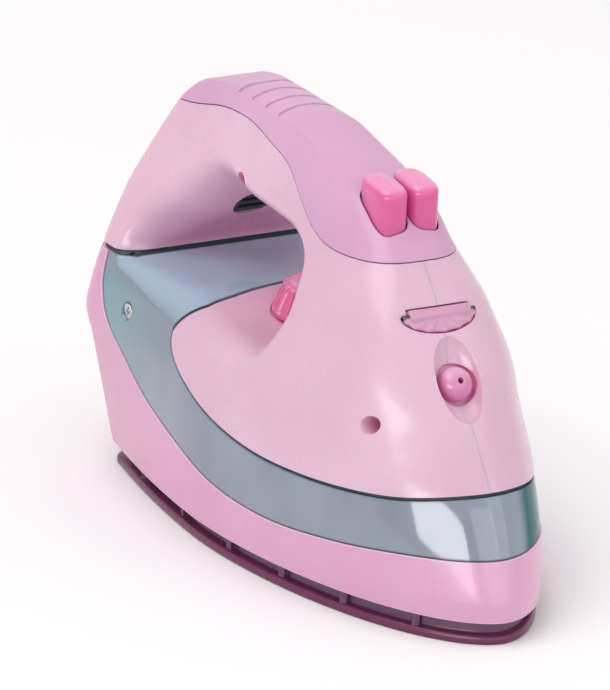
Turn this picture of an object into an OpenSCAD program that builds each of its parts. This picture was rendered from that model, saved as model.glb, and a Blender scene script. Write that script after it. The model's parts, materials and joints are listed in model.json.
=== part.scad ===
// Toy iron: pretend steam iron with press buttons, a turning dial and a filler flap.
// The nose points along +X, the handle is on top and the iron stands on its soleplate at z = 0.

/* [Overall] */
// Length from the heel plane to the tip of the nose
iron_l = 187; // [176:1:200]
// Width across the widest part of the lower housing
iron_w = 89; // [85:1:95]
// Height from the soleplate's face to the top of the grip
iron_h = 124; // [120:1:130]
// Wall thickness of the moulded shells
wall = 2; // [1.7:0.1:2.2]
// Dark groove between the tank and the upper body, filled by the gasket
seam_gap = 1.1; // [0.8:0.1:1.3]
// Height of the dark groove under the rear column
foot_groove = 1.6; // [1.2:0.1:1.8]
// Fine groove between the skirt and the tank
skirt_gap = 0.3; // [0.2:0.05:0.4]
// Clearance between pieces that rest together
fit_gap = 0.15; // [0.1:0.01:0.2]
// Clearance round pieces that move
move_gap = 0.4; // [0.3:0.05:0.5]
// Radial clearance of shafts and pins that turn
run_gap = 0.06; // [0.02:0.01:0.09]

/* [Soleplate] */
// Height of the whole soleplate
sole_h = 7; // [6.5:0.1:7.5]
// Height of the ironing flange at the bottom
flange_h = 2.6; // [2.4:0.1:3]
// How far the flange lies inside the housing's outline
flange_inset = 1.2; // [0.8:0.1:2]
// Bevel along the edge of the flange
flange_bevel = 1; // [0.5:0.1:1.4]
// How far the dark neck lies inside the housing's outline
neck_inset = 4.5; // [4:0.1:5]
// Thickness of the soleplate's floor
sole_floor = 2.4; // [2.2:0.1:2.6]
// Width of the small ribs round the neck
neck_rib_w = 2; // [1.5:0.1:3]

/* [Buttons] */
// Length of a button along the iron
button_l = 16; // [14:0.5:18]
// Width of a button across the iron
button_w = 10; // [9.5:0.1:10]
// How far a button's top lies below the top of the grip
button_drop = 5.2; // [4.4:0.2:7]
// Travel of a button
button_travel = 2; // [1:0.5:2.5]
// Wire diameter of a button's return spring
spring_wire = 0.7; // [0.5:0.1:0.8]
// Mean radius of a button's return spring
spring_r = 4.2; // [4:0.1:4.3]
// Turns of a button's return spring
spring_turns = 5; // [4:1:6]

/* [Dial] */
// Radius of the dial at its foot
dial_r = 15; // [14:0.5:15.5]
// Radius of the dial at its top
dial_top_r = 11.5; // [10.5:0.5:12.5]
// Height of the dial
dial_h = 9.5; // [8:0.5:11]
// Radius of the dial's shaft
dial_shaft_r = 4; // [3.5:0.1:4.5]
// Finger grooves round the dial
dial_grooves = 20; // [12:1:24]

/* [Filler flap] */
// Width of the flap across the iron
flap_w = 24; // [22:0.5:25]
// Height of the flap along the slope
flap_h = 6; // [5:0.5:7]
// Diameter of the flap's hinge pin
flap_pin_d = 1.6; // [1.4:0.1:1.8]

/* [Spray nozzle] */
// Radius of the round end of the nozzle's recess
recess_r = 7.8; // [7:0.2:8]
// Depth of the recess
recess_depth = 5; // [4:0.5:5.5]
// Radius of the nozzle
nozzle_r = 5; // [4.4:0.1:5.4]

/* [Sound] */
// Radius of the round port in the rear column
port_r = 6.5; // [5.5:0.5:7]
// Thickness of the grille
grille_t = 1.6; // [1.2:0.1:2]
// Thickness of the speaker
speaker_t = 4.5; // [3.5:0.5:5]

/* [Power] */
// Diameter of a battery cell
cell_d = 14.2; // [13.9:0.1:14.5]
// Length of a battery cell with its button
cell_l = 50; // [49:0.5:50.5]
// Thickness of the battery box's walls
box_wall = 1.6; // [1.2:0.1:2]
// Thickness of the battery door
door_t = 2; // [1.8:0.1:2]
// Travel of the power slider
slider_travel = 3; // [2:0.5:4]

/* [Fasteners] */
// Shank diameter of the small screws
screw_d = 2.6; // [2.2:0.1:2.8]
// Head diameter of the small screws
screw_head_d = 5; // [4.5:0.1:5.2]
// Height of a screw's head
screw_head_h = 1.8; // [1.4:0.1:2]
// Radius of the screw bosses
boss_r = 4; // [3.8:0.1:4.2]

/* [Hidden] */
$fn = 48;

// Places as shares of the iron's length from the heel, and of its height from the table.
function x_at(share) = (share - 0.5) * iron_l;
function z_at(share) = share * iron_h;
function y_at(share) = share * iron_w / 2;
function side_points(shares) = [for (s = shares) [x_at(s[0]), z_at(s[1])]];

// A smooth curve through chosen points, with a number of steps between each two.
function blend_of(a, b, c, d, t) = 0.5 * (2 * b + (c - a) * t + (2 * a - 5 * b + 4 * c - d) * t * t
    + (3 * b - a - 3 * c + d) * t * t * t);
function along(pts, t) = let (n = len(pts) - 1, i = min(floor(t), n - 1))
    blend_of(pts[max(i - 1, 0)], pts[i], pts[i + 1], pts[min(i + 2, n)], t - i);
function smooth(pts, steps) = [for (i = [0 : (len(pts) - 1) * steps]) along(pts, i / steps)];
function smooth_loop(pts, steps) = let (n = len(pts)) [for (i = [0 : n - 1]) for (k = [0 : steps - 1])
    blend_of(pts[(i + n - 1) % n], pts[i], pts[(i + 1) % n], pts[(i + 2) % n], k / steps)];
function shifted(pts, d) = let (n = len(pts) - 1) [for (i = [0 : n])
    let (t = pts[min(i + 1, n)] - pts[max(i - 1, 0)]) pts[i] + d * [-t[1], t[0]] / norm(t)];
function reversed(pts) = [for (i = [len(pts) - 1 : -1 : 0]) pts[i]];
function mirror_y(p) = [p[0], -p[1], p[2]];

// Sections of the housing from the sole up: height, front, rear and widest place as shares of the
// height and length, then the greatest half width and the heel's as shares of half the width, then
// how square the nose is.
body_section_shares = [
    [0.030, 0.979, 0.045, 0.435, 0.955, 0.780, 1.80],
    [0.056, 1.006, 0.040, 0.435, 0.980, 0.800, 1.80],
    [0.194, 0.979, 0.022, 0.435, 1.000, 0.860, 1.85],
    [0.323, 0.940, 0.008, 0.425, 0.975, 0.925, 1.90],
    [0.395, 0.905, 0.000, 0.415, 0.955, 0.965, 1.95],
    [0.460, 0.872, 0.000, 0.405, 0.920, 0.930, 2.05],
    [0.516, 0.844, 0.000, 0.400, 0.880, 0.880, 2.25],
    [0.573, 0.816, 0.000, 0.430, 0.785, 0.815, 2.50],
    [0.621, 0.791, 0.000, 0.460, 0.690, 0.755, 2.75],
    [0.686, 0.757, 0.000, 0.480, 0.600, 0.665, 2.95],
    [0.742, 0.727, 0.003, 0.490, 0.505, 0.570, 3.00],
    [0.794, 0.693, 0.008, 0.495, 0.430, 0.480, 2.95],
    [0.863, 0.648, 0.021, 0.490, 0.370, 0.380, 2.80],
    [0.911, 0.599, 0.046, 0.480, 0.325, 0.310, 2.60],
    [0.960, 0.515, 0.094, 0.430, 0.250, 0.240, 2.20],
    [0.985, 0.415, 0.155, 0.370, 0.150, 0.150, 2.00],
    [1.000, 0.335, 0.230, 0.310, 0.050, 0.040, 2.00]];
heel_corner_share = 0.18;
flank_bend_share = 1.65;
inside_drop_share = 0.8;
thin_share = 0.01;
// Steps round the nose, along the flank and round the heel's corner, and rings up the height.
fine_steps = [9, 4, 3, 24];
plain_steps = [6, 3, 2, 16];

// Side view of the parting line between skirt and tank, from the nose to the heel's top.
skirt_line_shares = [[1.060, 0.200], [0.906, 0.193], [0.760, 0.173], [0.620, 0.160], [0.480, 0.172],
    [0.350, 0.212], [0.230, 0.262], [0.152, 0.325], [0.098, 0.395], [0.062, 0.465], [0.046, 0.540]];
// Side view of the parting line between tank and upper body, from the nose to the saddle.
tank_line_shares = [[1.020, 0.372], [0.930, 0.342], [0.840, 0.316], [0.700, 0.304], [0.560, 0.308],
    [0.430, 0.338], [0.345, 0.385], [0.303, 0.440], [0.306, 0.500], [0.322, 0.540]];
// Side view of the lower edge of the grip's cover, from behind the grip to its front.
cover_line_shares = [[0.010, 0.890], [0.080, 0.905], [0.160, 0.932], [0.240, 0.938], [0.320, 0.922],
    [0.396, 0.900], [0.458, 0.854], [0.508, 0.813], [0.564, 0.791], [0.640, 0.789], [0.740, 0.798]];
line_steps = 3;
// The saddle is the tank's flat top behind the dial, and its seam bows back in the middle.
saddle_share = 0.540;
saddle_seam_shares = [[0.322, 0.90], [0.318, 0.78], [0.302, 0.50], [0.288, 0.25], [0.280, 0]];
column_foot_share = 0.096;
gasket_sink = 0.7;

// The finger opening in side view: place, then how deep and how wide its edge is rounded, as
// shares of half the width.
opening_shares = [
    [0.130, 0.540, 0.10, 0.20], [0.200, 0.540, 0.15, 0.34], [0.265, 0.539, 0.19, 0.36],
    [0.315, 0.524, 0.19, 0.34], [0.370, 0.509, 0.18, 0.32], [0.460, 0.509, 0.17, 0.30],
    [0.510, 0.532, 0.18, 0.30], [0.526, 0.590, 0.19, 0.30], [0.523, 0.662, 0.18, 0.29],
    [0.500, 0.718, 0.18, 0.28], [0.450, 0.752, 0.17, 0.26], [0.375, 0.763, 0.16, 0.24],
    [0.315, 0.766, 0.17, 0.23], [0.270, 0.768, 0.21, 0.25], [0.232, 0.768, 0.27, 0.29],
    [0.204, 0.750, 0.32, 0.36], [0.176, 0.710, 0.33, 0.42], [0.145, 0.655, 0.30, 0.46],
    [0.110, 0.605, 0.23, 0.42], [0.090, 0.562, 0.14, 0.30], [0.098, 0.543, 0.10, 0.20]];
round_turns = [0, 22.5, 45, 67.5, 90];
plain_turns = [0, 45, 90];
opening_reach_share = 1.2;
// The least half width that the round leaves of the opening's edge.
opening_land = 0.6;

function section(t) = along(body_section_shares, t * (len(body_section_shares) - 1));
function half_section(s, inset, steps) = let (
    thin = thin_share * iron_w,
    front = x_at(min(s[1], 1)) - inset,
    rear = x_at(max(s[2], 0)) + inset,
    mid = x_at(s[3]),
    w = max(y_at(s[4]) - inset, thin),
    heel_w = max(y_at(s[5]) - inset, thin),
    c = heel_corner_share * heel_w,
    z = z_at(s[0]) - inside_drop_share * inset) concat(
    [for (i = [0 : steps[0]]) let (a = 90 * i / steps[0])
        [mid + (front - mid) * pow(cos(a), 2 / s[6]), w * pow(sin(a), 2 / s[6]), z]],
    [for (i = [1 : steps[1]]) let (t = i / steps[1])
        [mid + (rear + c - mid) * t, w + (heel_w - w) * pow(t, flank_bend_share), z]],
    [for (i = [1 : steps[2]]) let (a = 90 * i / steps[2])
        [rear + c - c * sin(a), heel_w - c + c * cos(a), z]]);
function full_section(h) = concat(h, [for (i = [len(h) - 1 : -1 : 1]) mirror_y(h[i])]);
function right_section(h) = concat([for (p = reversed(h)) mirror_y(p)], [[h[len(h) - 1][0], 0, h[0][2]]]);

// What the housing measures at a height, and where its flank lies beside a place in the side view.
function share_at(z, column) = lookup(z / iron_h, [for (s = body_section_shares) [s[0], s[column]]]);
function section_at(z) = [for (k = [0 : 6]) k == 0 ? z / iron_h : share_at(z, k)];
function front_at(z) = x_at(share_at(z, 1));
function flank_at(x, z) = lookup(x, [for (p = half_section(section_at(z), 0, fine_steps)) [p[0], p[1]]]);

// A closed solid through rings of equally many points, each anticlockwise seen from the last.
module loft(rings) {
    n = len(rings[0]);
    last = len(rings) - 1;
    polyhedron(points = [for (r = rings) each r], faces = concat(
        [[for (i = [0 : n - 1]) i]],
        [for (j = [0 : last - 1]) for (i = [0 : n - 1]) let (a = j * n + i, b = j * n + (i + 1) % n)
            each [[a, a + n, b], [b, a + n, b + n]]],
        [[for (i = [n - 1 : -1 : 0]) last * n + i]]));
}

module housing(inset, steps) {
    n = steps[3];
    loft([for (j = [0 : n]) full_section(half_section(section(j / n), inset, steps))]);
}

module housing_right(inset, steps) {
    n = steps[3];
    loft([for (j = [0 : n]) right_section(half_section(section(j / n), inset, steps))]);
}

// The opening's edge: place, outward direction, depth and width of its round, the flank's place
// there and how fast the flank moves away along the outward direction.
function opening_rim(steps) = let (
    pts = smooth_loop([for (p = opening_shares) [x_at(p[0]), z_at(p[1]), y_at(p[2]), y_at(p[3])]], steps),
    n = len(pts)) [for (i = [0 : n - 1]) let (
        p = pts[i],
        t = pts[(i + 1) % n] - pts[(i + n - 1) % n],
        out = [t[1], -t[0]] / norm([t[0], t[1]]),
        d = p[2],
        half = flank_at(p[0] + d * out[0], p[1] + d * out[1]),
        near = flank_at(p[0] + d * out[0] / 2, p[1] + d * out[1] / 2),
        width = min(p[3], half - opening_land))
        [p[0], p[1], out[0], out[1], d, width, half, 2 * (half - near) / d]];
function rim_point(r, y, d) = [r[0] + d * r[2], y, r[1] + d * r[3]];
function rim_ring(rim, side, turn, extra) = [for (r = rim) let (
    d = r[4] - (r[4] - extra) * cos(turn),
    y = r[6] - r[5] + (r[5] - extra) * sin(turn) + r[7] * (d - r[4]) * pow(sin(turn), 2))
    rim_point(r, side * y, d)];
module opening(extra, steps, turns) {
    rim = opening_rim(steps);
    reach = y_at(opening_reach_share);
    loft(concat(
        [[for (r = rim) rim_point(r, reach, r[4])]],
        [for (a = reversed(turns)) rim_ring(rim, 1, a, extra)],
        [for (a = turns) rim_ring(rim, -1, a, extra)],
        [[for (r = rim) rim_point(r, -reach, r[4])]]));
}

// A slab across the iron with a side view's outline.
module side_slab(points) {
    rotate([90, 0, 0]) translate([0, 0, -iron_w]) linear_extrude(2 * iron_w) polygon(points);
}

module hole_at_origin(r, h) {
    translate([0, 0, -h / 2]) cylinder(r = r, h = h);
}

far = iron_l;
skirt_line = smooth(side_points(skirt_line_shares), line_steps);
tank_line = smooth(side_points(tank_line_shares), line_steps);
cover_line = smooth(side_points(cover_line_shares), line_steps);
saddle_z = z_at(saddle_share);
saddle_seam = [for (s = saddle_seam_shares) [x_at(s[0]), y_at(s[1])]];
skirt_top = skirt_line[len(skirt_line) - 1];
tank_end = tank_line[len(tank_line) - 1];
column_foot_x = x_at(column_foot_share);

// The outline of the housing at the top of the soleplate, drawn in by an inset.
function sole_half(inset) = half_section(body_section_shares[1], inset, fine_steps);
function sole_outline(inset) = [for (p = full_section(sole_half(inset))) [p[0], p[1]]];
function sole_ring(inset, z) = [for (p = sole_outline(inset)) [p[0], p[1], z]];
neck_rib_places = [2, 4, 6, 8, 10, 12];

// Battery box: two cells lie side by side along the iron, behind a screwed door in the soleplate.
cell_gap = 0.8;
touch_gap = 0.05;
contact_room = 7;
contact_t = 0.4;
contact_share = 0.8;
cell_nub_share = 0.14;
cell_nub_d_share = 0.38;
contact_wire = 0.6;
contact_turns = 3;
contact_coil_share = 0.3;
box_in_l = cell_l + contact_room;
box_in_w = 2 * cell_d + 3 * cell_gap;
cell_z = sole_floor + cell_gap + cell_d / 2;
cell_y = (cell_d + cell_gap) / 2;
box_roof = cell_z + cell_d / 2 + cell_gap;
box_top = box_roof + box_wall;
foot_w = 4;
foot_t = 3;
door_lap = 1;
door_tower = 11;
door_l = box_in_l + 2 * door_lap + 2 * door_tower;
door_w = box_in_w + 2 * door_lap;
door_z = sole_floor - fit_gap - door_t;
door_screw_x = (door_l - door_tower) / 2;
door_screw_seat = 1.9;
door_boss_r = 3.4;
door_boss_rise = 1.6;
door_boss_h = 8;
door_screw_l = 7;
door_rib_w = 1.2;
door_rib_pitch = 3;
door_rib_count = 7;
door_rib_depth = 0.4;

// Power switch by the heel, moved by a slider in the soleplate, with the battery box ahead of it.
switch_x = x_at(0.13);
switch_gap = 3.7;
slider_l = 6;
slider_w = 4.5;
slider_stem_l = 3;
slider_stem_w = 2;
slider_stem_h = 2;
slider_sink = 0.5;
switch_l = 14;
switch_w = 7;
switch_h = 5;
box_x = switch_x + switch_l / 2 + switch_gap + foot_w + door_l / 2;

// Screws that hold the soleplate: one at the nose and two at the heel.
sole_screw_shares = [[0.800, 0], [0.110, 0.52], [0.110, -0.52]];
function sole_screw_at(s) = [x_at(s[0]), y_at(s[1]), 0];
sole_screw_l = 14;
sole_boss_h = 16;
screw_sink = 0.4;

// Screws through the right shell into the left one, at the front flank and in the grip.
case_screw_shares = [[0.781, 0.460], [0.281, 0.810]];
case_screw_seat = 9;
case_screw_l = 16;

// Screws that hold the tank to tabs of the skirt.
tank_screw_x = x_at(0.152);
tank_screw_z = z_at(0.440);
tank_screw_y = flank_at(tank_screw_x, tank_screw_z);
tank_pad_t = 4.5;
tank_screw_l = 10;
tank_screw_sink = 0.6;
tab_t = 6;
tab_w = 8;
tab_foot_z = z_at(0.24);
tab_joint_z = z_at(0.305);

// Buttons with their springs, and the board with two switches below them.
button_x = x_at(0.612);
button_split = 0.4;
button_top = iron_h - button_drop;
button_y = (button_w + button_split) / 2;
button_cap_h = 18.8;
button_round = 2;
button_tilt_share = 0.10;
button_round_share = 0.65;
button_dome = 0.5;
button_points = 28;
button_flange_t = 1.6;
button_flange_out = 1.2;
sleeve_wall = 1.2;
button_foot = button_top - button_cap_h;
flange_z = button_foot - button_flange_t;
stem_r = 1.8;
stem_l = 3.6;
board_t = 1.6;
tact_w = 4.5;
tact_h = 3.5;
tact_pin_r = 1.6;
tact_pin_h = 1;
board_top = flange_z - stem_l - button_travel - move_gap - tact_pin_h - tact_h;
board_l = 22;
board_w = 34;
rail_w = 3;
rail_t = 1.6;

// Dial on the saddle, just behind the front column.
dial_x = x_at(0.389);
dial_floor = z_at(0.509);
dial_z = dial_floor + move_gap;
dial_groove_r = 1;
dial_round = 1.5;
collar_wall = 2.5;
collar_h = 5;
washer_over = 2;
washer_t = 1.2;
dial_screw_l = 7;
shaft_end = dial_floor - wall - collar_h - run_gap;

// Flap: its pin lies across the front, with the plate hanging below it along the slope.
flap_z = z_at(0.692);
flap_slope = 39;
flap_sink = 1.3;
flap_x = front_at(flap_z) - flap_sink;
barrel_r = 2;
barrel_inset = 2;
barrel_l = flap_w - 2 * barrel_inset;
flap_under = 0.9;
flap_over = 1.3;
flap_back = 4;
scallops = 7;
scallop_share = 0.06;
flap_points = 42;

// Nozzle in its recess, square to the slope of the front.
nozzle_z = z_at(0.562);
nozzle_x = front_at(nozzle_z);
nozzle_slope = 35;
recess_tip_share = 1.9;
recess_points = 32;
nozzle_stand = 5.4;
nozzle_taper = 0.6;
nozzle_bore_r = 0.9;
nozzle_tail = 6;
nozzle_tail_r = 2.4;

// Port in the leaning face of the rear column.
port_x = x_at(0.157);
port_z = z_at(0.671);
port_lean = 40;
grille_flange = 1.4;
seat_wall = 1.6;
grille_slots = 4;
grille_slot_share = 0.14;
grille_slot_l_share = 1.4;
cone_sink = 1;
cone_wall = 2;

// Circuit board on the battery box, and the lamp in front of it.
post_r = 2;
post_h = 3;
peg_r = 1;
pcb_l = 46;
pcb_w = 26;
pcb_z = box_top + post_h;
blob_r = 5;
blob_h = 2;
blob_x = -4;
can_r = 2.5;
can_h = 7;
can_x = 9;
can_y = 3;
chip_l = 6;
chip_w = 1.6;
chip_x = 6;
chip_rows = [-6, -3];
lamp_x = x_at(sole_screw_shares[0][0]);
lamp_r = 2.5;
lamp_stand = 5;
lamp_foot_z = sole_h + sole_boss_h;
lamp_z = lamp_foot_z + lamp_stand;
lamp_h = 6;
lamp_rim = 0.4;
lamp_rim_h = 1;
lamp_lip = 0.5;

screw_slot_share = 0.14;

// A screw along Z with its head's top at z = 0, its shank below and a cross recess.
module screw(shank) {
    slot = screw_head_d * screw_slot_share;
    depth = screw_head_h / 2;
    difference() {
        union() {
            translate([0, 0, -screw_head_h]) cylinder(d = screw_head_d, h = screw_head_h);
            translate([0, 0, -screw_head_h - shank]) cylinder(d = screw_d, h = shank + depth);
        }
        for (turn = [0, 90]) {
            rotate([0, 0, turn]) translate([-2 * slot, -slot / 2, -depth]) cube([4 * slot, slot, 2 * depth]);
        }
    }
}

// A round wire wound along Z from z = 0, with flat turns at both ends.
function coil_lift(t, turns) = max(0, min(1, (t * turns - 0.6) / (turns - 1.2)));
module coil(r, wire, h, turns, sides, steps) {
    n = turns * steps;
    loft([for (i = [0 : n]) let (a = 360 * i / steps, low = wire / 2 + (h - wire) * coil_lift(i / n, turns))
        [for (k = [0 : sides - 1]) let (b = -360 * k / sides, q = r + wire / 2 * cos(b))
            [q * cos(a), q * sin(a), low + wire / 2 * sin(b)]]]);
}

module soleplate() color([0.24, 0.12, 0.25]) {
    neck = sole_half(neck_inset);
    lip = sole_half(flange_inset + flange_bevel);
    neck_h = sole_h - flange_h / 2;
    difference() {
        union() {
            loft([
                sole_ring(flange_inset + flange_bevel / 2, 0),
                sole_ring(flange_inset, flange_bevel / 2),
                sole_ring(flange_inset, flange_h - flange_bevel),
                sole_ring(flange_inset + flange_bevel, flange_h)]);
            translate([0, 0, flange_h / 2]) linear_extrude(neck_h) polygon(sole_outline(neck_inset));
            for (side = [1, -1]) for (i = neck_rib_places) {
                reach = [lip[i][0] - neck[i][0], side * (lip[i][1] - neck[i][1])];
                rib_l = norm(reach) + wall / 2 - move_gap;
                translate([neck[i][0], side * neck[i][1], flange_h / 2])
                    rotate([0, 0, atan2(reach[1], reach[0])]) translate([-wall / 2, -neck_rib_w / 2, 0])
                        cube([rib_l, neck_rib_w, neck_h - fit_gap]);
            }
        }
        difference() {
            translate([0, 0, sole_floor]) linear_extrude(sole_h) polygon(sole_outline(neck_inset + wall));
            for (s = sole_screw_shares) {
                translate(sole_screw_at(s)) cylinder(r = boss_r, h = sole_h);
            }
        }
        for (s = sole_screw_shares) {
            translate(sole_screw_at(s)) {
                hole_at_origin(screw_d / 2 + run_gap, 4 * sole_h);
                hole_at_origin((screw_head_d + move_gap) / 2, 2 * (screw_head_h + screw_sink));
            }
        }
        translate([box_x - door_l / 2 - move_gap, -door_w / 2 - move_gap, -sole_h])
            cube([door_l + 2 * move_gap, door_w + 2 * move_gap, 2 * sole_h]);
        translate([switch_x - (slider_l + slider_travel) / 2 - move_gap, -slider_w / 2 - move_gap, -sole_h])
            cube([slider_l + slider_travel + 2 * move_gap, slider_w + 2 * move_gap, 2 * sole_h]);
    }
}

// A tab of the skirt that the tank is screwed to.
module tank_tab() {
    low = tank_screw_y - tank_pad_t - fit_gap - tab_t;
    intersection() {
        housing(wall / 2, plain_steps);
        union() {
            translate([tank_screw_x - tab_w / 2, low, tab_foot_z]) {
                cube([tab_w, tab_t, tank_screw_z - tab_foot_z]);
                cube([tab_w, far, tab_joint_z - tab_foot_z]);
            }
            translate([tank_screw_x, low, tank_screw_z]) rotate([-90, 0, 0]) cylinder(d = tab_w, h = tab_t);
        }
    }
}

module base_skirt() color([0.93, 0.66, 0.80]) {
    foot_l = door_l + 2 * foot_w;
    foot_wide = door_w + 2 * foot_w;
    difference() {
        union() {
            difference() {
                intersection() {
                    housing(0, fine_steps);
                    side_slab(concat(skirt_line, [[-far, skirt_top[1]], [-far, sole_h], [far, sole_h]]));
                }
                difference() {
                    housing(wall, plain_steps);
                    translate([-far, -far, 0]) cube([2 * far, 2 * far, sole_h + wall]);
                }
            }
            for (s = sole_screw_shares) {
                translate(sole_screw_at(s) + [0, 0, sole_h]) cylinder(r = boss_r, h = sole_boss_h);
            }
            tank_tab();
            mirror([0, 1, 0]) tank_tab();
        }
        translate([box_x - foot_l / 2, -foot_wide / 2, sole_h / 2]) cube([foot_l, foot_wide, sole_h]);
        translate([switch_x - switch_l / 2 - fit_gap, -switch_w / 2 - fit_gap, sole_h / 2])
            cube([switch_l + 2 * fit_gap, switch_w + 2 * fit_gap, sole_h]);
        for (s = sole_screw_shares) {
            translate(sole_screw_at(s)) cylinder(d = screw_d, h = sole_screw_l + 2 * wall);
        }
        for (side = [1, -1]) {
            tank_screw_place(side) hole_at_origin(screw_d / 2, 4 * tank_screw_l);
        }
    }
}

// The upper body's share of the walls: in front of the side line, and ahead of the saddle's seam.
module body_zone(grow) {
    line = shifted(tank_line, grow);
    edge = [for (p = saddle_seam) [p[0] - grow, p[1]]];
    back = [for (i = [len(edge) - 2 : -1 : 0]) [edge[i][0], -edge[i][1]]];
    side_slab(concat(line, [[line[len(line) - 1][0], far], [far, far]]));
    translate([0, 0, saddle_z - 2 * wall]) linear_extrude(4 * wall)
        polygon(concat(edge, back, [[far, -iron_w], [far, iron_w]]));
}

// The walls of the housing and of the finger opening, between two insets.
module walls(outer, inner) {
    difference() {
        housing(outer, fine_steps);
        opening(outer, 2, round_turns);
        difference() {
            housing(inner, plain_steps);
            opening(inner, 1, plain_turns);
        }
    }
}

module tank_screw_place(side) {
    translate([tank_screw_x, side * tank_screw_y, tank_screw_z]) rotate([-90 * side, 0, 0])
        translate([0, 0, -tank_screw_sink]) children();
}

module water_tank() color([0.55, 0.70, 0.76]) {
    difference() {
        union() {
            intersection() {
                walls(0, wall);
                side_slab(concat(shifted(skirt_line, -skirt_gap), [[column_foot_x, saddle_z],
                    [column_foot_x, saddle_z + wall], [far, saddle_z + wall], [far, skirt_line[0][1]]]));
            }
            intersection() {
                housing(wall / 2, plain_steps);
                for (side = [1, -1]) {
                    tank_screw_place(side) translate([0, 0, tank_screw_sink - tank_pad_t])
                        cylinder(d = tab_w, h = 2 * tank_pad_t);
                }
            }
        }
        body_zone(seam_gap);
        for (side = [1, -1]) {
            tank_screw_place(side) hole_at_origin(screw_d / 2 + run_gap, 4 * tank_pad_t);
            tank_screw_place(side) hole_at_origin((screw_head_d + move_gap) / 2, 2 * screw_head_h);
        }
    }
}

module tank_gasket() color([0.22, 0.24, 0.28]) {
    intersection() {
        walls(gasket_sink, wall);
        union() {
            difference() {
                body_zone(seam_gap - touch_gap);
                body_zone(touch_gap);
                translate([-far, -far, saddle_z + wall]) cube([2 * far, 2 * far, far]);
            }
            translate([-far, -far, saddle_z + touch_gap])
                cube([column_foot_x + far, 2 * far, foot_groove - 2 * touch_gap]);
        }
    }
}

module case_screw_place(i) {
    s = case_screw_shares[i];
    translate([x_at(s[0]), -case_screw_seat, z_at(s[1])]) rotate([90, 0, 0]) children();
}

module port_place() {
    translate([port_x, 0, port_z]) rotate([0, 90 + port_lean, 0]) children();
}

module flap_place() {
    translate([flap_x, 0, flap_z]) rotate([0, 90 - flap_slope, 0]) children();
}

module nozzle_place() {
    translate([nozzle_x, 0, nozzle_z]) rotate([0, 90 - nozzle_slope, 0]) children();
}

// The flap's outline below its hinge line: half an ellipse with a scalloped edge when it isn't grown.
module flap_outline(grow) {
    ripple = grow > 0 ? 0 : scallop_share;
    polygon(concat([[-grow, flap_w / 2 + grow], [-grow, -flap_w / 2 - grow]],
        [for (i = [0 : flap_points]) let (
            a = 180 * i / flap_points,
            m = 1 - ripple * abs(cos(a * scallops)) * sin(a))
            [(flap_h + grow) * sin(a) * m, -(flap_w / 2 + grow) * cos(a) * m]]));
}

module teardrop(r) {
    lean = acos(1 / recess_tip_share);
    polygon(concat([[-recess_tip_share * r, 0]], [for (i = [0 : recess_points])
        let (a = 180 - lean - i * (360 - 2 * lean) / recess_points) [r * cos(a), r * sin(a)]]));
}

// Thickenings inside a shell half that carry the other pieces.
module shell_carriers() {
    flap_place() translate([-barrel_r - wall, -flap_w / 2 - 2 * wall, -flap_back])
        cube([flap_h + barrel_r + 2 * wall, flap_w + 4 * wall, 2 * flap_back]);
    nozzle_place() translate([0, 0, -recess_depth - wall])
        linear_extrude(2 * recess_depth) teardrop(recess_r + wall);
    for (i = [0, 1]) {
        case_screw_place(i) hole_at_origin(boss_r, 2 * iron_w);
    }
    translate([dial_x, 0, shaft_end + run_gap])
        cylinder(r = dial_shaft_r + collar_wall, h = collar_h + wall / 2);
    translate([dial_x, 0, dial_floor - wall]) cylinder(r = dial_r + move_gap + wall, h = dial_h + 2 * wall);
    port_place() translate([0, 0, -wall - grille_t - speaker_t - seat_wall])
        cylinder(r = port_r + grille_flange + seat_wall, h = grille_t + speaker_t + seat_wall + wall);
    rail_y = board_w / 2 - rail_w;
    for (start = [-far, rail_y]) {
        translate([button_x - board_l / 2, start, board_top - board_t - rail_t])
            cube([board_l, start < 0 ? far - rail_y : far, board_t + 2 * rail_t]);
    }
}

// Half of the upper body: the lobe, the front column, the grip's sides and the rear column.
module right_shell() {
    body_foot = saddle_z + foot_groove;
    difference() {
        union() {
            intersection() {
                difference() {
                    housing_right(0, fine_steps);
                    opening(0, 2, round_turns);
                    difference() {
                        housing_right(wall, plain_steps);
                        opening(wall, 1, plain_turns);
                    }
                }
                union() {
                    body_zone(0);
                    side_slab([[-far, body_foot], [tank_end[0], body_foot], [tank_end[0], far], [-far, far]]);
                }
            }
            intersection() {
                difference() {
                    housing_right(wall / 2, plain_steps);
                    opening(wall / 2, 1, plain_turns);
                }
                shell_carriers();
            }
        }
        side_slab(concat(cover_line, [[far, far], [-far, far]]));
        translate([dial_x, 0, dial_floor]) {
            hole_at_origin(dial_shaft_r + run_gap, 4 * collar_h);
            cylinder(r = dial_r + move_gap, h = dial_h + 2 * move_gap);
        }
        flap_place() {
            rotate([90, 0, 0]) hole_at_origin(barrel_r + move_gap, barrel_l + 2 * move_gap);
            translate([0, 0, -flap_under - move_gap]) linear_extrude(2 * flap_back) flap_outline(move_gap);
            rotate([90, 0, 0]) hole_at_origin(flap_pin_d / 2 + touch_gap, flap_w + wall);
        }
        nozzle_place() {
            translate([0, 0, -recess_depth]) linear_extrude(3 * recess_depth) teardrop(recess_r);
            hole_at_origin(nozzle_tail_r + touch_gap, 6 * recess_depth);
        }
        port_place() {
            hole_at_origin(port_r, 4 * wall);
            translate([0, 0, -wall - grille_t - speaker_t])
                cylinder(r = port_r + grille_flange + touch_gap, h = grille_t + speaker_t + touch_gap);
            translate([0, 0, -wall - grille_t - speaker_t]) hole_at_origin(port_r - cone_wall, 4 * seat_wall);
        }
        translate([button_x, 0, board_top - board_t / 2])
            cube([board_l, board_w, board_t] + 2 * touch_gap * [1, 1, 1], center = true);
    }
}

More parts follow.
